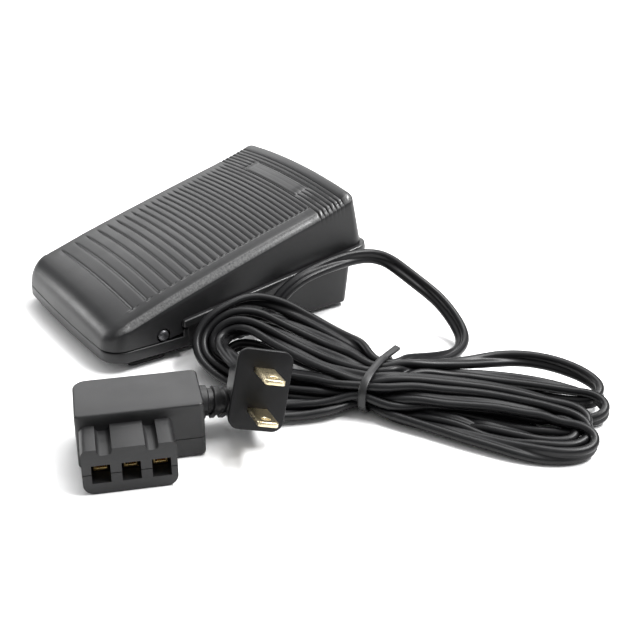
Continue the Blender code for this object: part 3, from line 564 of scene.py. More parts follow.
hollow = box(-COVER_HALF_W + COVER_WALL, COVER_HALF_W - COVER_WALL, COVER_Y0 + COVER_WALL, COVER_Y1 - COVER_WALL,
             -4, 40 - COVER_ROOF, corner=5.5, corner_steps=6, top=2.2, top_steps=4, rear=2.6)
slice_at(hollow, xs=(-28, -14, 0, 14, 28), ys=(-46, -38, -30, -18, -4, 10, 24, 34, 44))
cut(cover, "cover_hollow", shape_cover(hollow, 40 - COVER_ROOF, COVER_ROOF, 33))


def boss(x, y, radius, foot):
    bm = cylinder(radius, 0, 10, x, y, steps=32)
    for v in bm.verts:
        v.co.z = top_z(v.co.x, v.co.y) - 1.3 if v.co.z > 5 else foot + 0.0728 * (v.co.y - y)
    return bm


join(cover, "spring_post_right", boss(SPRING_X, SPRING_Y, 5.0, 36.0))
join(cover, "spring_post_left", boss(-SPRING_X, SPRING_Y, 5.0, 36.0))
join(cover, "plunger_pad", boss(0, PLUNGER_Y, 5.0, 31.6))
cut(cover, "rim_line", prism(
    [(-80, -12), (-80, RIM_Z_FRONT), (PIVOT_Y, RIM_Z_FRONT), (RIM_STEP_Y, RIM_Z_FRONT + TILT * (RIM_STEP_Y - PIVOT_Y)),
     (RIM_STEP_Y, rim_z(RIM_STEP_Y)), (80, rim_z(80)), (80, -12)], 60))
cut(cover, "pivot_bore", cylinder(2.6, -60, 60, PIVOT_Y, PIVOT_Z, steps=40, axis="X"))
settled(cover, 44)
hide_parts("treadle_cover")
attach(cover, "treadle")


# ------------------------------------------------------------------ base housing
def deck_z(y):
    if y > -25:
        return 19.3 + 0.12 * y
    return max(SILL_Z1, 16.3 + 0.33 * (y + 25))


tray = box(-BOX_HALF_W, BOX_HALF_W, BOX_Y0, BOX_Y1, BOX_Z0, 40, corner=5.0, corner_steps=10, bottom=0.8, top_steps=4, rear=3.0)
slice_at(tray, zs=(6, 12, 18, 24))
for v in tray.verts:
    x, y, z = v.co
    rear = clamp01((y - 20) / 26)
    v.co = (x * (1 + 0.02 * min(z - BOX_Z0, 18) / BOX_HALF_W), y + 0.11 * (z - BOX_Z0) * rear, z)
base = made("base_shell", tray, M_BASE)
cut(base, "deck_line", prism([(-70, 60), (-70, deck_z(-60)), (-50.15, deck_z(-50.15)), (-25, deck_z(-25)), (70, deck_z(70)), (70, 60)], 60))
sill = box(-COVER_HALF_W, COVER_HALF_W, COVER_Y0, -23.2, SILL_Z0, 11.0)
front_corners = [e for e in sill.edges if abs(e.verts[0].co.z - e.verts[1].co.z) > 0.5 and e.verts[0].co.y < -40]
bmesh.ops.bevel(sill, geom=front_corners, offset=7.5, segments=12, profile=0.5, affect="EDGES")
slice_at(sill, xs=(-34, -28, -21, -14, -7, 0, 7, 14, 21, 28, 34), ys=(-44, -36))
for v in sill.verts:
    x, y, z = v.co
    v.co.y = y - BOW_FRONT * (1 - min(1.0, (x / 36.0) ** 2)) * clamp01((-y - 30) / 24)
sill_body = made("sill_body", sill, None, tool=True)
boolean(sill_body, made("sill_step", prism([(-80, SILL_Z1), (-80, 30), (-25.3, 30), (-25.3, SILL_Z1)], 60), None, tool=True))
sill_soft = sill_body.modifiers.new("round", "BEVEL")
sill_soft.width = 0.5 * MM
sill_soft.segments = 3
sill_soft.limit_method = "ANGLE"
sill_soft.angle_limit = math.radians(50)
boolean(base, sill_body, "UNION")
cut(base, "tray_well", box(-34.0, 34.0, -47.6, 46.2, BOX_Z0 + BOX_FLOOR, 60, corner=3.4, corner_steps=6, rear=1.6))
for side, sx in (("right", 1), ("left", -1)):
    join(base, "spring_well_" + side, cylinder(6.0, 2.6, 15.0, sx * SPRING_X, SPRING_Y))
    cut(base, "spring_bore_" + side, cylinder(4.7, 3.7, 18.0, sx * SPRING_X, SPRING_Y))
    join(base, "pivot_lug_" + side, box(*sorted((sx * 27.5, sx * 34.5)), PIVOT_Y - 4, PIVOT_Y + 4, 2.6, 12.6))
    cut(base, "pin_bore_" + side, cylinder(1.75, *sorted((sx * 25.5, sx * 45.0)), PIVOT_Y, PIVOT_Z, steps=28, axis="X"))
LID_SCREWS = ((29.6, 40.0), (-29.6, 40.0), (29.6, -22.4), (-29.6, -22.4))
BOARD_SCREWS = ((-26.5, -16.5), (12.0, -16.5), (-26.5, 0.5), (12.0, 0.5))
CLAMP_SCREWS = ((27.0, -16.2), (27.0, -5.4))
for i, (x, y) in enumerate(LID_SCREWS, 1):
    join(base, "lid_post_%d" % i, cylinder(3.1, 2.6, deck_z(y) - 2.8, x, y, steps=28))
    cut(base, "lid_pilot_%d" % i, cylinder(1.5, deck_z(y) - 11.0, 40, x, y, steps=20))
for i, (x, y) in enumerate(BOARD_SCREWS, 1):
    join(base, "board_post_%d" % i, cylinder(2.6, 2.6, 6.2, x, y, steps=28))
    cut(base, "board_pilot_%d" % i, cylinder(1.3, 3.2, 12, x, y, steps=20))
for i, (x, y) in enumerate(CLAMP_SCREWS, 1):
    join(base, "clamp_post_%d" % i, cylinder(2.7, 2.6, 10.6, x, y, steps=28))
    cut(base, "clamp_pilot_%d" % i, cylinder(1.3, 4.0, 16, x, y, steps=20))
cut(base, "flange_pocket", cylinder(4.3, 30.6, 33.4, -11.0, 6.9, steps=36, axis="X"))
cut(base, "cord_exit", cylinder(3.7, 20, 50, -11.0, 6.9, steps=36, axis="X"))
settled(base, 40)
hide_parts("base_housing")
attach(base, "base")

for where, x, y in (("front_right", 25.4, -45.0), ("front_left", -35.2, -45.0), ("rear_right", 25.4, 17.0), ("rear_left", -35.2, 17.0)):
    foot = made("foot_pad_" + where, box(x, x + 9.8, y, y + 14.0, 0, 1.2, corner=1.5, corner_steps=6, bottom=0.35, top_steps=3), M_FOOT)
    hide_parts("rubber_foot_" + where)
    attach(foot, "base")

# ------------------------------------------------------------------ pivot pins
PIN = [(0, 1.9), (0.8, 1.88), (1.4, 1.72), (1.85, 1.4), (2.08, 0.9), (2.15, 0.3), (2.1, 0), (1.5, -0.02), (1.5, -10.1), (1.3, -10.5), (0, -10.6)]
for side, turn in (("right", 90), ("left", -90)):
    sx = 1 if side == "right" else -1
    m = Matrix.Translation(Vector((sx * 37.7, PIVOT_Y, PIVOT_Z)) * MM) @ Matrix.Rotation(math.radians(turn), 4, "Y")
    pin = lathe("pivot_stud_" + side, PIN, M_PIN, m)
    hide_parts("pivot_pin_" + side)
    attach(pin, "base")

# ------------------------------------------------------------------ machine connector
CM = frame_of(CONNECTOR_AT, (0, 0, CONNECTOR_TURN))
def rounded_block(z0, z1, rim, level, steps):
    """The connector's main block: its far left upright corner is rounder than the others."""
    bm = box(-15.2, 23.4, 13.6, 35.8, z0, z1)
    for x, y, radius in ((-15.2, 35.8, 4.4), (-15.2, 13.6, 1.4), (23.4, 13.6, 1.8), (23.4, 35.8, 2.0)):
        upright = [e for e in bm.edges if all(abs(v.co.x - x) < 1e-4 and abs(v.co.y - y) < 1e-4 for v in e.verts)]
        bmesh.ops.bevel(bm, geom=upright, offset=radius, segments=9, profile=0.5, affect="EDGES")
    edge = [e for e in bm.edges if all(abs(v.co.z - level) < 1e-4 for v in e.verts)]
    bmesh.ops.bevel(bm, geom=edge, offset=rim, segments=steps, profile=0.5, affect="EDGES")
    return bm


def nose_half(z0, z1, level, radius):
    """The connector's nose: its long edges are rounded, its front edges stay square."""
    bm = box(-14.2, 13.4, 0, 15.4, z0, z1)
    edge = [e for e in bm.edges if all(abs(v.co.z - level) < 1e-4 for v in e.verts) and abs(e.verts[0].co.x - e.verts[1].co.x) < 1e-4]
    bmesh.ops.bevel(bm, geom=edge, offset=radius, segments=9, profile=0.5, affect="EDGES")
    return bm


upper = made("connector_top_half", rounded_block(6.72, 18.4, 0.7, 18.4, 4), M_CONNECTOR, matrix=CM)
lower = made("connector_bottom_half", rounded_block(0.0, 6.48, 1.2, 0.0, 5), M_CONNECTOR, matrix=CM)
nose_u = nose_half(6.72, 14.9, 14.9, 2.0)
nose_l = nose_half(0.0, 6.48, 0.0, 3.4)
join(upper, "upper_nose", nose_u, CM)
join(lower, "lower_nose", nose_l, CM)
for half, tag in ((upper, "upper"), (lower, "lower")):
    for i, x in enumerate((-8.73, 0.0, 8.73), 1):
        cut(half, "%s_hole_%d" % (tag, i), box(x - 2.75, x + 2.75, -1, 14.6, 3.6, 9.6), CM)
        cut(half, "%s_slot_%d" % (tag, i), box(x - 1.2, x + 1.2, 14, 19, 5.0, 8.2), CM)
    cut(half, tag + "_chamber", box(-12.8, 15.0, 17.6, 33.6, 2.4, 15.9), CM)
    cut(half, tag + "_gate", cylinder(3.7, 14, 30, 29.5, 9.4, steps=40, axis="X"), CM)
for i, (x0, x1) in enumerate(((-9.6, -5.1), (4.4, 8.2)), 1):
    scoop = box(x0, x1, -1, 13.6, 12.9, 20)
    floor_edges = [e for e in scoop.edges if all(abs(v.co.z - 12.9) < 1e-4 for v in e.verts) and abs(e.verts[0].co.x - e.verts[1].co.x) < 1e-4]
    bmesh.ops.bevel(scoop, geom=floor_edges, offset=1.4, segments=7, profile=0.5, affect="EDGES")
    cut(upper, "key_groove_%d" % i, scoop, CM)
for i, x in enumerate((-9.0, 18.8), 1):
    for half, tag in ((upper, "upper"), (lower, "lower")):
        if i == 1:
            slab = (6.75, 16.6) if tag == "upper" else (1.0, 6.45)
            join(half, "%s_post_%d" % (tag, i), cylinder(2.6, slab[0], slab[1], x, 20.0, steps=28), CM)
        cut(half, "%s_screw_bore_%d" % (tag, i), cylinder(1.25, -1.0, 12.5, x, 20.0, steps=24), CM)
    cut(lower, "screw_head_bore_%d" % i, cylinder(2.4, -1.0, 1.6, x, 20.0, steps=28), CM)
for half in (upper, lower):
    soften(half, 0.28, 3, 40)
    settled(half, 34)
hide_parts("connector_upper_shell")
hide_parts("connector_lower_shell")
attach(upper, "base")
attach(lower, "base")

# three spring-leaf sockets: a folded brass box, bored through
for i, x in enumerate((-8.73, 0.0, 8.73), 1):
    leaf = made("socket_leaf_%d" % i, box(x - 2.3, x + 2.3, 6.2, 14.0, 4.0, 9.2, corner=0.3, corner_steps=3), M_BRASS, matrix=CM)
    cut(leaf, "leaf_bore_%d" % i, box(x - 1.6, x + 1.6, 5.0, 15.0, 4.8, 8.4), CM)
    soften(leaf, 0.12, 2)
    settled(leaf)
    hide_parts("connector_contact_%d" % i)
    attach(leaf, "base")

# ------------------------------------------------------------------ ribbed strain relief on the connector
def catmull(anchors, step):
    """Evenly spaced points on a centripetal-like curve through the anchors."""
    pts = np.array(anchors, float)
    ext = np.vstack([2 * pts[0] - pts[1], pts, 2 * pts[-1] - pts[-2]])
    dense = []
    for i in range(1, len(ext) - 2):
        p0, p1, p2, p3 = ext[i - 1 : i + 3]
        a = np.linalg.norm(p2 - p1)
        m1 = (p2 - p0) / max(1e-9, np.linalg.norm(p1 - p0) + a) * a
        m2 = (p3 - p1) / max(1e-9, np.linalg.norm(p3 - p2) + a) * a
        t = np.linspace(0, 1, 24, endpoint=False)[:, None]
        dense.append((2 * t**3 - 3 * t**2 + 1) * p1 + (t**3 - 2 * t**2 + t) * m1 + (-2 * t**3 + 3 * t**2) * p2 + (t**3 - t**2) * m2)
    dense = np.vstack(dense + [pts[-1:]])
    return respaced(dense, step)


def respaced(line, step, count=None):
    seg = np.linalg.norm(np.diff(line, axis=0), axis=1)
    reach = np.concatenate([[0], np.cumsum(seg)])
    n = count if count is not None else max(2, int(round(reach[-1] / step)) + 1)
    want = np.linspace(0, reach[-1], n)
    return np.stack([np.interp(want, reach, line[:, k]) for k in range(line.shape[1])], axis=1)


def swept(name, line, sections, mat, matrix=None, sharp=40, up=(0.0, 0.0, 1.0)):
    """A closed tube: sections[i] is an array of (side, up) offsets at line[i]."""
    line = np.array(line, float)
    tan = np.gradient(line, axis=0)
    tan /= np.linalg.norm(tan, axis=1)[:, None]
    bm = bmesh.new()
    rings = []
    side = np.cross(tan[0], up)
    for p, t, sec in zip(line, tan, sections):
        side = side - t * (side @ t)
        side /= np.linalg.norm(side)
        over = np.cross(side, t)
        rings.append([bm.verts.new(p + side * a + over * b) for a, b in sec])
    n = len(rings[0])
    for a, b in zip(rings, rings[1:]):
        for k in range(n):
            bm.faces.new((a[k], a[(k + 1) % n], b[(k + 1) % n], b[k]))
    bm.faces.new(rings[0][::-1])
    bm.faces.new(rings[-1])
    return made(name, bm, mat, matrix=matrix, sharp=sharp)


def ring(radius_a, radius_b=None, steps=32, power=2.0):
    radius_b = radius_a if radius_b is None else radius_b
    out = []
    for k in range(steps):
        a = 2 * math.pi * k / steps
        c, s = math.cos(a), math.sin(a)
        f = 1 / (abs(c) ** power + abs(s) ** power) ** (1 / power)
        out.append((radius_a * c * f, radius_b * s * f))
    return out


boot_line = catmull([(16.2, 29.5, 9.4), (20.0, 29.5, 9.4), (25.0, 29.5, 9.35), (28.0, 29.7, 8.9), (31.2, 30.2, 8.0), (34.2, 30.9, 6.8)], 0.2)
boot_sections = []
for p in boot_line:
    x = p[0]
    if x < 23.55:
        boot_sections.append(ring(3.2))
    else:
        phase = ((x - 23.55) / 3.4) % 1.0
        rib = clamp01(phase / 0.06) * clamp01((0.62 - phase) / 0.06)
        body = 4.75 - 0.75 * (x - 23.55) / 10.6
        boot_sections.append(ring(body + 0.85 * rib, steps=40))
boot_u = swept("connector_relief", boot_line, boot_sections, M_BOOT, matrix=CM, sharp=50)
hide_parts("connector_boot")
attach(boot_u, "base")

# ------------------------------------------------------------------ springs
def coil_spring(name, x, y, z0, z1, radius, wire, turns):
    steps = 28 * turns
    low, high = z0 + wire, z1 - wire
    pts = []
    for k in range(steps + 1):
        t = k / steps
        rise = clamp01((t - 0.5 / turns) / (1 - 1.0 / turns))
        a = 2 * math.pi * turns * t
        flat_turns = wire * 0.6 * (min(t, 0.5 / turns) + max(0.0, t - 1 + 0.5 / turns)) * turns
        pts.append((x + radius * math.cos(a), y + radius * math.sin(a), low + flat_turns + (high - low - wire * 0.6) * rise))
    obj = swept(name + "_coil", pts, [ring(wire, steps=12)] * len(pts), M_STEEL, sharp=60)
    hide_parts(name)
    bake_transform(obj)
    return obj


coil_spring("return_spring_right", SPRING_X, SPRING_Y, 4.0, 35.6, 3.6, 0.5, 8)
coil_spring("return_spring_left", -SPRING_X, SPRING_Y, 4.0, 35.6, 3.6, 0.5, 8)
coil_spring("plunger_spring", 0.0, PLUNGER_Y, 4.0, 15.1, 2.6, 0.35, 4)

# ------------------------------------------------------------------ mains plug
PM = frame_of(PLUG_AT, PLUG_TURN)
# local frame: y points away from the blades, z from blade to blade
face = box(-8.75, 8.75, -12.75, 12.75, 0, 1.7, corner=3.6, corner_steps=10, top=0.4, top_steps=4, bottom=0.3)
bmesh.ops.rotate(face, verts=face.verts, cent=(0, 0, 0), matrix=Matrix.Rotation(math.radians(90), 3, "X"))
bmesh.ops.translate(face, verts=face.verts, vec=(0, 1.7, 0))
plug_shell = made("plug_moulding", face, M_PLUG, matrix=PM)
core_line = [(0, 1.2 + 13.8 * t, 0) for t in np.linspace(0, 1, 16)]
core_sections = []
for i, t in enumerate(np.linspace(0, 1, 16)):
    w, h = 8.2 * (1 - 0.07 * t), 7.4 * (1 - 0.38 * t)
    grip = 0.0
    end = 1.0 if i < 15 else 0.93
    core_sections.append(ring((w - grip) * end, (h - grip) * end, 48, 7.0))
core = bmesh.new()
rings_ = []
for (x, y, z), sec in zip(core_line, core_sections):
    rings_.append([core.verts.new((a, y, b)) for a, b in sec])
for a, b in zip(rings_, rings_[1:]):
    for k in range(len(a)):
        core.faces.new((a[k], a[(k + 1) % len(a)], b[(k + 1) % len(a)], b[k]))
core.faces.new(rings_[0][::-1])
core.faces.new(rings_[-1])
join(plug_shell, "plug_core", core, PM)
for tag, z in (("upper", 6.35), ("lower", -6.35)):
    cut(plug_shell, "blade_slot_" + tag, box(-3.25, 3.25, -1, 1.5, z - 0.82, z + 0.82), PM)
settled(plug_shell, 40)
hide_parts("plug_body")
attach(plug_shell, "base")

for tag, z in (("upper", 6.35), ("lower", -6.35)):
    blade = box(-3.175, 3.175, -15.2, 1.45, z - 0.75, z + 0.75)
    tip = [e for e in blade.edges if all(v.co.y < -15 for v in e.verts) and abs(e.verts[0].co.z - e.verts[1].co.z) > 0.5]
    bmesh.ops.bevel(blade, geom=tip, offset=1.2, segments=6, profile=0.5, affect="EDGES")
    piece = made("plug_pin_" + tag, blade, M_BLADE, matrix=PM)
    cut(piece, "pin_hole_" + tag, cylinder(1.5, z - 3, z + 3, 0, -11.2, steps=32), PM)
    soften(piece, 0.3, 3, 40)
    settled(piece)
    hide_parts("plug_blade_" + tag)
    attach(piece, "base")

relief = []
for y in np.linspace(0, 12.0, 90):
    body = 4.3 - 1.3 * (y / 12.0) ** 1.2
    phase = (y / 2.6) % 1.0
    groove = 0.55 * clamp01((phase - 0.58) / 0.06) * clamp01((0.98 - phase) / 0.06) if 1.2 < y < 9.5 else 0.0
    relief.append((body - groove, -y))
plug_relief = lathe("plug_relief", [(0, 0)] + relief + [(0, -12.0)], M_BOOT, PM @ Matrix.Translation((0, 15.3 * MM, 0)) @ Matrix.Rotation(math.radians(90), 4, "X"), sharp=50)
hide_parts("plug_boot")
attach(plug_relief, "base")

# ------------------------------------------------------------------ pedal's own cord boot
exit_line = catmull([(31.2, -11, 6.9), (33.0, -11, 6.9), (36.2, -11, 6.9), (38.9, -10.7, 6.9), (41.4, -9.6, 6.9),
                     (43.1, -7.6, 6.9), (44.1, -5.0, 7.1), (44.6, -2.0, 7.6), (44.8, 1.0, 8.6)], 0.3)
exit_sections = []
for k, p in enumerate(exit_line):
    t = k / (len(exit_line) - 1)
    r = 4.0 if p[0] < 33.0 and t < 0.2 else 3.3 - 0.7 * clamp01((t - 0.5) / 0.5)
    if t > 0.45:
        phase = (t * 9.0) % 1.0
        r -= 0.3 * clamp01((phase - 0.55) / 0.08) * clamp01((0.97 - phase) / 0.08)
    exit_sections.append(ring(r, steps=28))
exit_boot = swept("pedal_relief", exit_line, exit_sections, M_BOOT, sharp=50)
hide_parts("pedal_cord_boot")
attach(exit_boot, "base")

# ------------------------------------------------------------------ the two flat twin cords
TA = np.array(TIE_AT, float)
AL = np.array([math.cos(math.radians(TIE_TURN)), math.sin(math.radians(TIE_TURN)), 0.0])
AC = np.array([-AL[1], AL[0], 0.0])
SLOTS = {
    1: (9.9, 11.2), 2: (4.6, 11.7), 3: (-0.9, 11.7), 4: (-6.0, 11.4), 5: (-10.2, 9.2), 6: (-10.4, 6.0), 7: (-9.6, 3.0),
    8: (-4.6, 2.9), 9: (-5.0, 7.2), 10: (0.8, 2.9), 11: (0.6, 7.3), 12: (5.9, 7.1), 13: (6.4, 2.9),
}


def through(slot, to_right):
    """The stretch of a strand inside the tie."""
    a, z = SLOTS[slot]
    mid = np.array([TA[0], TA[1], z]) + AC * a
    pts = [mid - AL * 3.0, mid + AL * 3.0]
    return pts if to_right else pts[::-1]


LEAD = [(44.83, 1.45, 8.75), (45.0, 4.4, 9.8), (45.0, 7.0, 11.9), (44.9, 12.0, 16.9), (44.6, 20.4, 21.2), (44.5, 33.7, 23.6), (44.9, 46.0, 24.1),
        (48.0, 54.6, 23.0), (57.1, 57.2, 20.5), (65.1, 60.4, 16.5), (72.1, 63.9, 12.0), (82.0, 64.2, 6.6), (89.0, 61.6, 3.9), (93.9, 55.2, 3.2),
        (96.3, 46.5, 4.2), (97.9, 38.0, 6.4), (99.2, 31.0, 9.0), (99.6, 25.4, 10.6)]
LEFT_A = [(93.0, 18.4, 11.8), (79, 15.2, 13.2), (64.5, 10.6, 15.6), (54, 5.6, 18.2), (47.4, -2, 20.2), (46, -11, 19.4), (46.6, -19.5, 15.6), (49.4, -25.0, 11.0),
          (55, -27, 7.0), (62, -26.0, 5.0), (70, -24.0, 3.6), (79, -20.4, 3.0), (89, -14.6, 3.0), (97.4, -7.0, 3.0)]
LEFT_B = [(96.0, 14.6, 11.9), (80, 9.4, 13.2), (65.5, 2.6, 15.6), (54, -4.8, 17.6), (49.0, -12, 17.3), (47.6, -18.6, 14.1), (48.8, -23, 10.0), (53.5, -24.6, 7.0),
          (61, -23.6, 5.4), (70, -20.6, 5.0), (81, -15.4, 5.0), (91, -8.6, 5.4), (99.0, -0.5, 6.4)]
LEFT_C = [(98.6, 9.4, 11.8), (86, 4.4, 12.4), (72, -2, 14.4), (60, -7.6, 16.6), (54, -13, 16.4), (52.0, -18.4, 13.1), (52.8, -21.2, 9.0), (57, -21.4, 7.6),
          (64, -19.6, 7.6), (75, -14, 8.0), (87, -7.2, 8.4), (97.0, -1.6, 8.8)]
LEFT_E1 = [(93.6, 16.0, 8.2), (79, 13.0, 9.0), (64, 8.0, 11.0), (54.6, 2.4, 13.4), (49.6, -5, 14.6), (48.6, -12.4, 13.8), (50.0, -18.2, 10.8), (53.4, -20.6, 8.0),
           (59, -20.4, 6.4), (68, -16.6, 6.0), (80, -10.4, 6.2), (92, -2.0, 6.8)]
LEFT_E2 = [(94.6, 13.0, 4.0), (82, 8.0, 4.0), (70, 2.6, 5.0), (61.6, -3.0, 6.6), (56, -9, 7.6), (53.6, -13.6, 7.2), (54.8, -17.0, 5.6), (58.6, -17.6, 4.0),
           (65.6, -15.2, 3.2), (78, -9.0, 3.0), (92, -1.2, 3.0)]
LEFT_D = [(101.0, 5.2, 11.2), (92, 0, 11.6), (77, -5, 13.4), (63.0, -9.4, 15.4), (56.0, -13.0, 15.0), (53.8, -17.0, 12.8), (56.8, -20.8, 10.8),
          (63.4, -22.0, 10.2), (70.5, -21.9, 10.9), (78.4, -24.05, 12.5)]
OUT_F = [(102.6, -1.6, 5.4), (97.0, -11.0, 3.8), (92.6, -18.4, 3.2), (88.6, -24.8, 3.6), (86.3, -28.6, 4.9), (85.6, -31.0, 5.95), (85.4, -32.1, 6.4)]
OUT_G = [(89.9, -32.7, 6.4), (90.1, -31.6, 5.95), (91.0, -29.0, 4.7), (93.4, -24.8, 3.4), (97.6, -17.0, 3.0), (101.8, -8.6, 3.0), (104.4, -1.6, 3.0)]
RIGHT_1 = [(106.4, 26.0, 11.6), (109.4, 33, 10.8), (111.8, 42.6, 10.0), (114.4, 53, 9.4), (118.2, 61.0, 9.2), (124.6, 67.4, 8.8), (131.4, 71.2, 8.2), (138.4, 73.2, 7.4),
           (144.6, 72.8, 6.2), (148.0, 69.6, 4.8), (145.0, 65.0, 3.5), (136, 60.4, 3.0), (126, 55.2, 3.0), (116.4, 47.6, 3.0), (109.0, 37, 3.2), (104.6, 28.0, 5.0)]
RIGHT_2 = [(106.0, 20.0, 11.8), (111, 31, 9.8), (118.6, 43, 8.0), (128.6, 54.6, 7.0), (140, 63.2, 6.6), (148.6, 67.2, 5.9), (153.4, 67.2, 5.0), (155.2, 63.2, 3.8),
           (152.0, 58.0, 3.0), (145, 51.8, 3.0), (134, 44.6, 3.0), (122, 36, 3.0), (110.6, 26, 3.0)]
RIGHT_3 = [(109.4, 13.6, 12.0), (118.4, 27, 10.8), (131, 41.6, 9.3), (143.6, 51.0, 7.9), (151.4, 55.4, 6.6), (156.6, 56.0, 5.2), (158.4, 52.0, 4.0), (156.4, 46.8, 3.2),
           (149, 41.2, 3.0), (137, 34.6, 3.0), (124, 26.4, 3.6), (111.4, 17.6, 5.4)]
RIGHT_4 = [(108.4, 9.2, 3.0), (119, 15.4, 3.0), (135, 24.0, 3.0), (149, 31.6, 3.0), (157.2, 36.4, 3.0), (161.2, 40.8, 3.0), (163.2, 45.6, 3.4), (162.8, 50.0, 4.4),
           (158.6, 51.6, 5.8), (151.6, 49.4, 7.0), (142.6, 44.4, 7.9), (131.0, 35.4, 9.0), (119.4, 21.6, 9.8), (112.0, 11.6, 9.8)]
RIGHT_5 = [(113.0, 7.6, 3.0), (125.4, 14.4, 3.0), (139.4, 21.0, 3.0), (152.0, 27.6, 3.0), (160.6, 33.6, 3.0), (165.0, 39.4, 3.0), (166.6, 45.0, 3.4), (165.4, 49.6, 4.4),
           (161.2, 50.4, 5.6), (154.6, 47.6, 6.6), (145.4, 42.0, 7.5), (135.2, 33.6, 7.9), (122.6, 20.4, 7.9), (112.6, 10.4, 7.6)]
RIGHT_6 = [(114.0, 14.6, 3.0), (125, 20.8, 3.0), (137, 27.2, 3.0), (149, 34.6, 3.0), (156.6, 39.8, 3.0), (160.0, 44.6, 3.4), (159.0, 49.0, 4.4), (153.6, 49.0, 5.6),
           (143, 43.0, 6.2), (129.4, 30.6, 6.4), (115.6, 11.6, 6.4)]


def chain(*pieces):
    out = []
    for piece in pieces:
        out.extend([np.array(p, float) for p in piece])
    return out


CORD_1 = chain(LEAD, through(1, False), LEFT_A, through(8, True), RIGHT_4, through(5, False), LEFT_C[::-1], through(3, True), RIGHT_2,
               through(13, False), LEFT_E2, through(10, True), RIGHT_6, through(6, False), OUT_F)
CORD_2 = chain(OUT_G, through(7, True), RIGHT_5, through(9, False), LEFT_B[::-1], through(2, True), RIGHT_1, through(12, False), LEFT_E1,
               through(11, True), RIGHT_3[::-1], through(4, False), LEFT_D)


def blurred(values, times, keep_ends=1):
    v = values.copy()
    for _ in range(times):
        v[keep_ends:-keep_ends] = 0.25 * v[keep_ends - 1 : -keep_ends - 1] + 0.5 * v[keep_ends:-keep_ends] + 0.25 * (v[keep_ends + 1 :] if keep_ends == 1 else v[keep_ends + 1 : -keep_ends + 1])
    return v


SPACING = 2.4
lines = [catmull(c, SPACING) for c in (CORD_1, CORD_2)]
counts = [len(c) for c in lines]
goal = np.vstack(lines)
total = len(goal)
owner = np.concatenate([np.full(n, k) for k, n in enumerate(counts)])
first = [0, counts[0]]


def tangents(c):
    t = np.empty_like(c)
    for k, n in enumerate(counts):
        s = slice(first[k], first[k] + n)
        t[s] = np.gradient(c[s], axis=0)
    return t / np.linalg.norm(t, axis=1)[:, None]


# a flat cord lies flat where it runs straight, and turns on edge round the way it bends
OUTWARD = np.array([0.66, -0.42, 0.62])
tan = tangents(goal)
wide = np.zeros((total, 3))
for k, n in enumerate(counts):
    g = goal[first[k] : first[k] + n]
    t = tan[first[k] : first[k] + n]
    curve = np.zeros_like(g)
    curve[2:-2] = (g[:-4] - 2 * g[2:-2] + g[4:]) / (2 * SPACING) ** 2
    for _ in range(6):
        curve[1:-1] = 0.25 * curve[:-2] + 0.5 * curve[1:-1] + 0.25 * curve[2:]
    binormal = np.cross(t, curve)
    tight = np.linalg.norm(binormal, axis=1)
    last = None
    for i in range(n):
        flat = np.cross((0.0, 0.0, 1.0), t[i])
        flat /= max(1e-6, np.linalg.norm(flat))
        w_flat = flat
        b = binormal[i] / max(1e-9, tight[i])
        if k == 0 and i < 56:
            # the lead stands on its own: its flat side faces up and outward
            w_flat = np.cross(OUTWARD, t[i])
            w_flat /= max(1e-6, np.linalg.norm(w_flat))
        if last is None:
            last = w_flat if k == 1 else np.array([0.0, 0.0, 1.0])
        share = min(1.0, max(0.0, (tight[i] - 0.02) / 0.03)) if not (k == 0 and i < 56) else 0.0
        mixed = w_flat * (1 - share) * math.copysign(1.0, w_flat @ last) + b * share * math.copysign(1.0, b @ last) + 0.6 * last
        mixed -= t[i] * (mixed @ t[i])
        mixed /= max(1e-6, np.linalg.norm(mixed))
        wide[first[k] + i] = mixed
        last = mixed
wide_goal = wide.copy()
centre = goal.copy()
half = CORE_R * 0.99
MIN_GAP = 2 * CORE_R * 0.985

index = np.arange(total)
arc = index.copy()
capsules = [
    (np.array([104.0, -32.5, 19.3]) + np.array([-0.921, 0.306, -0.243]) * 4.0, np.array([104.0, -32.5, 19.3]) + np.array([-0.921, 0.306, -0.243]) * 12.0, 8.6),
    (np.array([104.0, -32.5, 19.3]) + np.array([-0.921, 0.306, -0.243]) * 15.0, np.array([104.0, -32.5, 19.3]) + np.array([-0.921, 0.306, -0.243]) * 24.0, 4.4),
]
fixed = np.zeros(total, bool)
for k, n in enumerate(counts):
    fixed[first[k] : first[k] + 2] = True
    fixed[first[k] + n - 2 : first[k] + n] = True
rest_len = []
for k, n in enumerate(counts):
    s = slice(first[k], first[k] + n)
    rest_len.append(np.linalg.norm(np.diff(goal[s], axis=0), axis=1).mean())

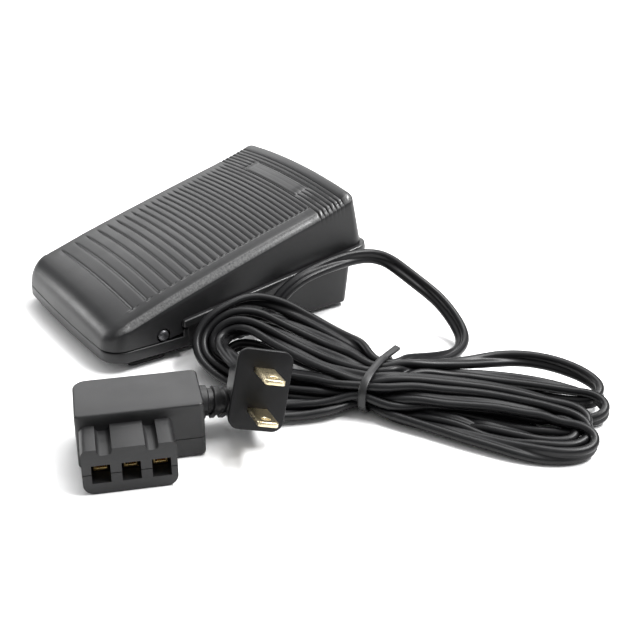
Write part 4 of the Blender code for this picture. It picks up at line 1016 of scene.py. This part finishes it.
ROUNDS = 260
pairs = None
for step in range(ROUNDS):
    late = step / ROUNDS
    pull = 0.10 * (1 - late) + 0.05
    centre += pull * (goal - centre)
    # stiffness: straighten, softly
    for k, n in enumerate(counts):
        s = slice(first[k], first[k] + n)
        c = centre[s]
        lap = np.zeros_like(c)
        lap[1:-1] = 0.5 * (c[:-2] + c[2:]) - c[1:-1]
        bi = np.zeros_like(c)
        bi[2:-2] = 0.5 * (lap[1:-3] + lap[3:-1]) - lap[2:-2]
        c -= 0.22 * bi
        w = wide[s]
        w[1:-1] = 0.5 * w[1:-1] + 0.25 * (w[:-2] + w[2:])
        # it keeps near the way it would lie by itself, and bends the thin way
        w += 0.06 * wide_goal[s] * np.sign(np.sum(w * wide_goal[s], axis=1))[:, None]
        bend = np.linalg.norm(lap, axis=1)
        inward = lap / np.maximum(bend, 1e-9)[:, None]
        lean = np.clip(bend / 0.12, 0, 1) * 0.12
        w -= (lean * np.sum(w * inward, axis=1))[:, None] * inward
    tan = tangents(centre)
    wide -= tan * np.sum(wide * tan, axis=1)[:, None]
    wide /= np.maximum(np.linalg.norm(wide, axis=1), 1e-9)[:, None]
    cores = np.stack([centre + wide * half, centre - wide * half], axis=1)  # n x 2 x 3
    flat = cores.reshape(-1, 3)
    if step % 8 == 0:
        d2 = ((centre[:, None, :] - centre[None, :, :]) ** 2).sum(-1)
        near = d2 < (4 * CORE_R + 3.0) ** 2
        i, j = np.nonzero(np.triu(near, 1))
        skip = (owner[i] == owner[j]) & (np.abs(i - j) < 5)
        i, j = i[~skip], j[~skip]
        pairs = (np.concatenate([2 * i, 2 * i, 2 * i + 1, 2 * i + 1]), np.concatenate([2 * j, 2 * j + 1, 2 * j, 2 * j + 1]))
    a, b = pairs
    gap = flat[b] - flat[a]
    dist = np.linalg.norm(gap, axis=1)
    hit = dist < MIN_GAP
    a, b, gap, dist = a[hit], b[hit], gap[hit], dist[hit]
    push = gap / np.maximum(dist, 1e-6)[:, None] * ((MIN_GAP - dist) * 0.5)[:, None]
    shift = np.zeros_like(flat)
    count = np.zeros(len(flat))
    np.add.at(shift, b, push)
    np.add.at(shift, a, -push)
    np.add.at(count, a, 1)
    np.add.at(count, b, 1)
    flat = flat + shift / np.maximum(count, 1)[:, None] * 1.25
    # weight, floor, the pedal's wall and the plug
    flat[:, 2] -= 0.004
    flat[:, 2] = np.maximum(flat[:, 2], CORE_R + 0.15)
    wall = 40.7 + CORE_R + 0.25
    beside = (flat[:, 1] < 60) & (flat[:, 1] > -58) & (flat[:, 0] < wall)
    flat[beside, 0] = wall
    for p, q, r in capsules:
        axis = q - p
        t = np.clip(((flat - p) @ axis) / (axis @ axis), 0, 1)
        near_pt = p + t[:, None] * axis
        off = flat - near_pt
        d = np.linalg.norm(off, axis=1)
        inside = (d < r + CORE_R + 0.2) & ~np.repeat(fixed, 2)
        tail = np.repeat(index >= total - 6, 2)
        inside &= ~tail
        flat[inside] = near_pt[inside] + off[inside] / d[inside][:, None] * (r + CORE_R + 0.2)
    # the tie holds the bundle in an oval
    rel = flat - TA
    s = rel @ AL
    u = rel @ AC
    w = rel[:, 2]
    grip = (np.abs(s) < 4.5) & (np.abs(u) < 17) & (flat[:, 2] < 19)
    open_ = 1 + 0.05 * np.maximum(0, np.abs(s) - 1.5) / 3.0
    ua, wa = (12.0 - CORE_R - 0.1) * open_, (6.05 - CORE_R - 0.1) * open_
    m = (np.abs(u / ua) ** 2.8 + np.abs(w / wa) ** 2.8) ** (1 / 2.8)
    out = grip & (m > 1)
    flat[out] += (AC[None, :] * (u[out] * (1 / m[out] - 1))[:, None]) + np.array([0, 0, 1.0])[None, :] * (w[out] * (1 / m[out] - 1))[:, None]
    cores = flat.reshape(-1, 2, 3)
    new_centre = cores.mean(axis=1)
    new_wide = cores[:, 0] - cores[:, 1]
    new_wide /= np.maximum(np.linalg.norm(new_wide, axis=1), 1e-9)[:, None]
    new_centre[fixed] = goal[fixed]
    centre = new_centre
    wide = new_wide
    # keep the points evenly spread along each cord
    for k, n in enumerate(counts):
        s = slice(first[k], first[k] + n)
        c = centre[s]
        seg = np.diff(c, axis=0)
        length = np.linalg.norm(seg, axis=1)
        target = rest_len[k]
        move = seg / length[:, None] * ((length - target) * 0.8)[:, None]
        c[:-1] += move * 0.5
        c[1:] -= move * 0.5
        centre[s] = c
    centre[fixed] = goal[fixed]


def twin_section(r, steps=12):
    """Outline of two round cores joined by a web; wide along the first axis."""
    pts = []
    meet = math.radians(38)  # where the groove's floor meets a core
    floor = r * math.sin(meet) * 0.98
    for k in range(steps):
        a = -math.pi + meet + (2 * math.pi - 2 * meet) * k / (steps - 1)
        pts.append((r + r * math.cos(a), r * math.sin(a)))
    pts.append((0.0, floor))
    for k in range(steps):
        a = meet + (2 * math.pi - 2 * meet) * k / (steps - 1)
        pts.append((-r + r * math.cos(a), r * math.sin(a)))
    pts.append((0.0, -floor))
    return pts


SECTION = twin_section(CORE_R)


def twin_cord(name, c, w, mat):
    """Sweeps the twin section along a line, with its wide way as given."""
    for _ in range(2):
        c[1:-1] = 0.25 * c[:-2] + 0.5 * c[1:-1] + 0.25 * c[2:]
    for _ in range(3):
        w[1:-1] = 0.25 * w[:-2] + 0.5 * w[1:-1] + 0.25 * w[2:]
    ext = np.vstack([2 * c[0] - c[1], c, 2 * c[-1] - c[-2]])
    fine_c, fine_w = [], []
    for i in range(1, len(ext) - 2):
        p0, p1, p2, p3 = ext[i - 1 : i + 3]
        for t in (0.0, 0.5):
            fine_c.append(0.5 * (2 * p1 + (p2 - p0) * t + (2 * p0 - 5 * p1 + 4 * p2 - p3) * t * t + (3 * p1 - p0 - 3 * p2 + p3) * t**3))
            fine_w.append(w[i - 1] * (1 - t) + w[i] * t)
    fine_c.append(c[-1])
    fine_w.append(w[-1])
    fine_c, fine_w = np.array(fine_c), np.array(fine_w)
    t = np.gradient(fine_c, axis=0)
    t /= np.linalg.norm(t, axis=1)[:, None]
    fine_w -= t * np.sum(fine_w * t, axis=1)[:, None]
    fine_w /= np.linalg.norm(fine_w, axis=1)[:, None]
    thin = np.cross(t, fine_w)
    sec = np.array(SECTION)
    verts = fine_c[:, None, :] + fine_w[:, None, :] * sec[None, :, :1] + thin[:, None, :] * sec[None, :, 1:]
    n, m = verts.shape[:2]
    faces = []
    for i in range(n - 1):
        for k in range(m):
            j = (k + 1) % m
            faces.append((i * m + k, i * m + j, (i + 1) * m + j, (i + 1) * m + k))
    faces.append(tuple(range(m))[::-1])
    faces.append(tuple((n - 1) * m + k for k in range(m)))
    mesh = bpy.data.meshes.new(name)
    mesh.from_pydata((verts.reshape(-1, 3) * MM).tolist(), [], faces)
    bm = bmesh.new()
    bm.from_mesh(mesh)
    bmesh.ops.recalc_face_normals(bm, faces=bm.faces)
    bm.to_mesh(mesh)
    bm.free()
    mesh.shade_smooth()
    mesh.set_sharp_from_angle(angle=math.radians(60))
    return put(name, mesh, mat), fine_c


for k, (name, mat) in enumerate((("flex_pedal_to_connector", M_CORD), ("flex_connector_to_plug", M_CORD_2))):
    s = slice(first[k], first[k] + counts[k])
    obj, path = twin_cord(name, centre[s].copy(), wide[s].copy(), mat)
    length = float(np.linalg.norm(np.diff(path, axis=0), axis=1).sum()) * MM
    print("cord", name, "length", round(length, 4))
    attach(obj, "base")

# the cord nodes of the frame are shown as these two cords
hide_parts("pedal_cord", "cord_hank", "connector_cord_upper")
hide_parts("connector_cord_lower", "plug_cord")

# ------------------------------------------------------------------ tie
tie_line = []
TIE_STEPS = 96
for k in range(TIE_STEPS):
    a = 2 * math.pi * k / TIE_STEPS
    c, s = math.cos(a), math.sin(a)
    f = 1 / (abs(c) ** 2.8 + abs(s) ** 2.8) ** (1 / 2.8)
    tie_line.append((c * f, s * f))
tie = bmesh.new()
loops = []
for (c, s) in tie_line:
    loops.append([
        tie.verts.new((x, (12.0 + t) * c, (6.05 + t) * s))
        for x, t in ((-1.3, 0.12), (-1.3, 0.78), (-1.05, 0.95), (1.05, 0.95), (1.3, 0.78), (1.3, 0.12), (1.1, 0.03), (-1.1, 0.03))
    ])
for k in range(TIE_STEPS):
    a, b = loops[k], loops[(k + 1) % TIE_STEPS]
    for i in range(8):
        tie.faces.new((a[i], a[(i + 1) % 8], b[(i + 1) % 8], b[i]))
TM = frame_of(TIE_AT, (0, 0, TIE_TURN))
tie_obj = made("tie_strap", tie, M_TIE, matrix=TM, sharp=50)
tail = box(-1.2, 1.2, 0, 6.4, -0.45, 0.45, corner=0.3, corner_steps=2)
bmesh.ops.rotate(tail, verts=tail.verts, cent=(0, 0, 0), matrix=Matrix.Rotation(math.radians(14), 3, "X"))
bmesh.ops.rotate(tail, verts=tail.verts, cent=(0, 0, 0), matrix=Matrix.Rotation(math.radians(-24), 3, "Z"))
bmesh.ops.translate(tail, verts=tail.verts, vec=(0, 7.6, 5.9))
join(tie_obj, "tie_tail", tail, TM)
settled(tie_obj, 50)
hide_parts("cord_tie")
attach(tie_obj, "base")

# ------------------------------------------------------------------ finishes on the carried-over parts
FINISH = {
    "housing_lid": M_LID, "actuator_plunger": M_NYLON, "cord_clamp": M_NYLON, "terminal_block": M_NYLON, "wiper_contact": M_BRASS,
    "resistor_plate": M_CERAMIC, "control_board": M_BOARD, "heat_sink": M_ALU, "triac": M_EPOXY, "suppressor_capacitor": M_FILM,
    "choke_coil": M_COPPER, "connector_screw_1": M_STEEL, "connector_screw_2": M_STEEL,
    "clamp_screw_1": M_STEEL, "clamp_screw_2": M_STEEL,
}
for i in range(1, 5):
    FINISH["lid_screw_%d" % i] = M_STEEL
    FINISH["board_screw_%d" % i] = M_STEEL
for node, mat in FINISH.items():
    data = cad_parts[node].data
    data.materials.clear()
    data.materials.append(mat)

# ------------------------------------------------------------------ stage, light, camera
floor_mesh = bpy.data.meshes.new("stage_floor")
floor_bm = bmesh.new()
bmesh.ops.create_grid(floor_bm, x_segments=1, y_segments=1, size=4.0)
floor_bm.to_mesh(floor_mesh)
floor_bm.free()
floor_obj = bpy.data.objects.new("stage_floor", floor_mesh)
bpy.context.scene.collection.objects.link(floor_obj)
floor_obj.location = (0, 0, -0.0002)
fm = Nodes("m_stage")
fm.shader.inputs["Roughness"].default_value = 0.9
fm.shader.inputs["Specular IOR Level"].default_value = 0.15
fm.link(fm.mix(fm.remap(fm.noise(30.0, 3.0), 0.3, 0.7, 0.0, 1.0), (0.90, 0.90, 0.90), (0.92, 0.92, 0.92)), fm.shader.inputs["Base Color"])
floor_mesh.materials.append(fm.mat)

bpy.context.scene.view_settings.view_transform = "Standard"

# a white room: bright ceiling, dimmer walls
world = bpy.data.worlds.new("studio")
bpy.context.scene.world = world
world.use_nodes = True
wt = world.node_tree
sky = wt.nodes.new("ShaderNodeTexCoord")
split = wt.nodes.new("ShaderNodeSeparateXYZ")
wt.links.new(sky.outputs["Generated"], split.inputs["Vector"])
ramp = wt.nodes.new("ShaderNodeValToRGB")
ramp.color_ramp.elements[0].position = 0.0
ramp.color_ramp.elements[0].color = (0.12, 0.12, 0.123, 1)
ramp.color_ramp.elements[1].position = 0.85
ramp.color_ramp.elements[1].color = (1.0, 1.0, 1.0, 1)
mid = ramp.color_ramp.elements.new(0.35)
mid.color = (0.32, 0.325, 0.33, 1)
wt.links.new(split.outputs["Z"], ramp.inputs["Fac"])
wt.links.new(ramp.outputs["Color"], wt.nodes["Background"].inputs["Color"])
wt.nodes["Background"].inputs["Strength"].default_value = 0.85


def softbox(name, at, target, size, power, size_y=None):
    light = bpy.data.lights.new(name, "AREA")
    light.shape = "RECTANGLE"
    light.size = size
    light.size_y = size_y or size
    light.energy = power
    obj = bpy.data.objects.new(name, light)
    bpy.context.scene.collection.objects.link(obj)
    obj.location = at
    aim = Vector(target) - Vector(at)
    obj.rotation_euler = aim.to_track_quat("-Z", "Y").to_euler()
    return obj


softbox("key_above", (-0.15, 0.35, 1.1), (0.05, 0.0, 0.0), 0.7, 9.0, 0.5)
softbox("far_left_panel", (-0.95, 0.42, 0.62), (0.05, 0.0, 0.02), 1.0, 5.5, 0.7)
softbox("front_left", (-0.95, -0.75, 0.32), (0.0, -0.05, 0.02), 0.4, 5.0, 0.25)
softbox("edge_strip", (0.40, 0.50, 0.95), (0.04, 0.0, 0.04), 0.7, 19.0, 0.16)

cam = bpy.data.cameras.new("photo_camera")
cam_obj = bpy.data.objects.new("photo_camera", cam)
bpy.context.scene.collection.objects.link(cam_obj)
cam.sensor_width = 36.0
cam.lens = 1118.65 / 640.0 * 36.0
cam.shift_x = (320.0 - 314.14) / 640.0
cam.shift_y = (323.10 - 320.0) / 640.0
cam.clip_start = 0.01
pitch, azim, roll = math.radians(26.495), math.radians(56.28), math.radians(-0.086)
fwd = Vector((-math.sin(azim) * math.cos(pitch), math.cos(azim) * math.cos(pitch), -math.sin(pitch)))
right = Vector((math.cos(azim), math.sin(azim), 0.0))
up = right.cross(fwd)
r2 = right * math.cos(roll) - up * math.sin(roll)
u2 = up * math.cos(roll) + right * math.sin(roll)
rot = Matrix((r2, u2, -fwd)).transposed()
cam_obj.matrix_world = Matrix.Translation(Vector((358.5, -183.0, 189.5)) * MM) @ rot.to_4x4()
bpy.context.scene.camera = cam_obj
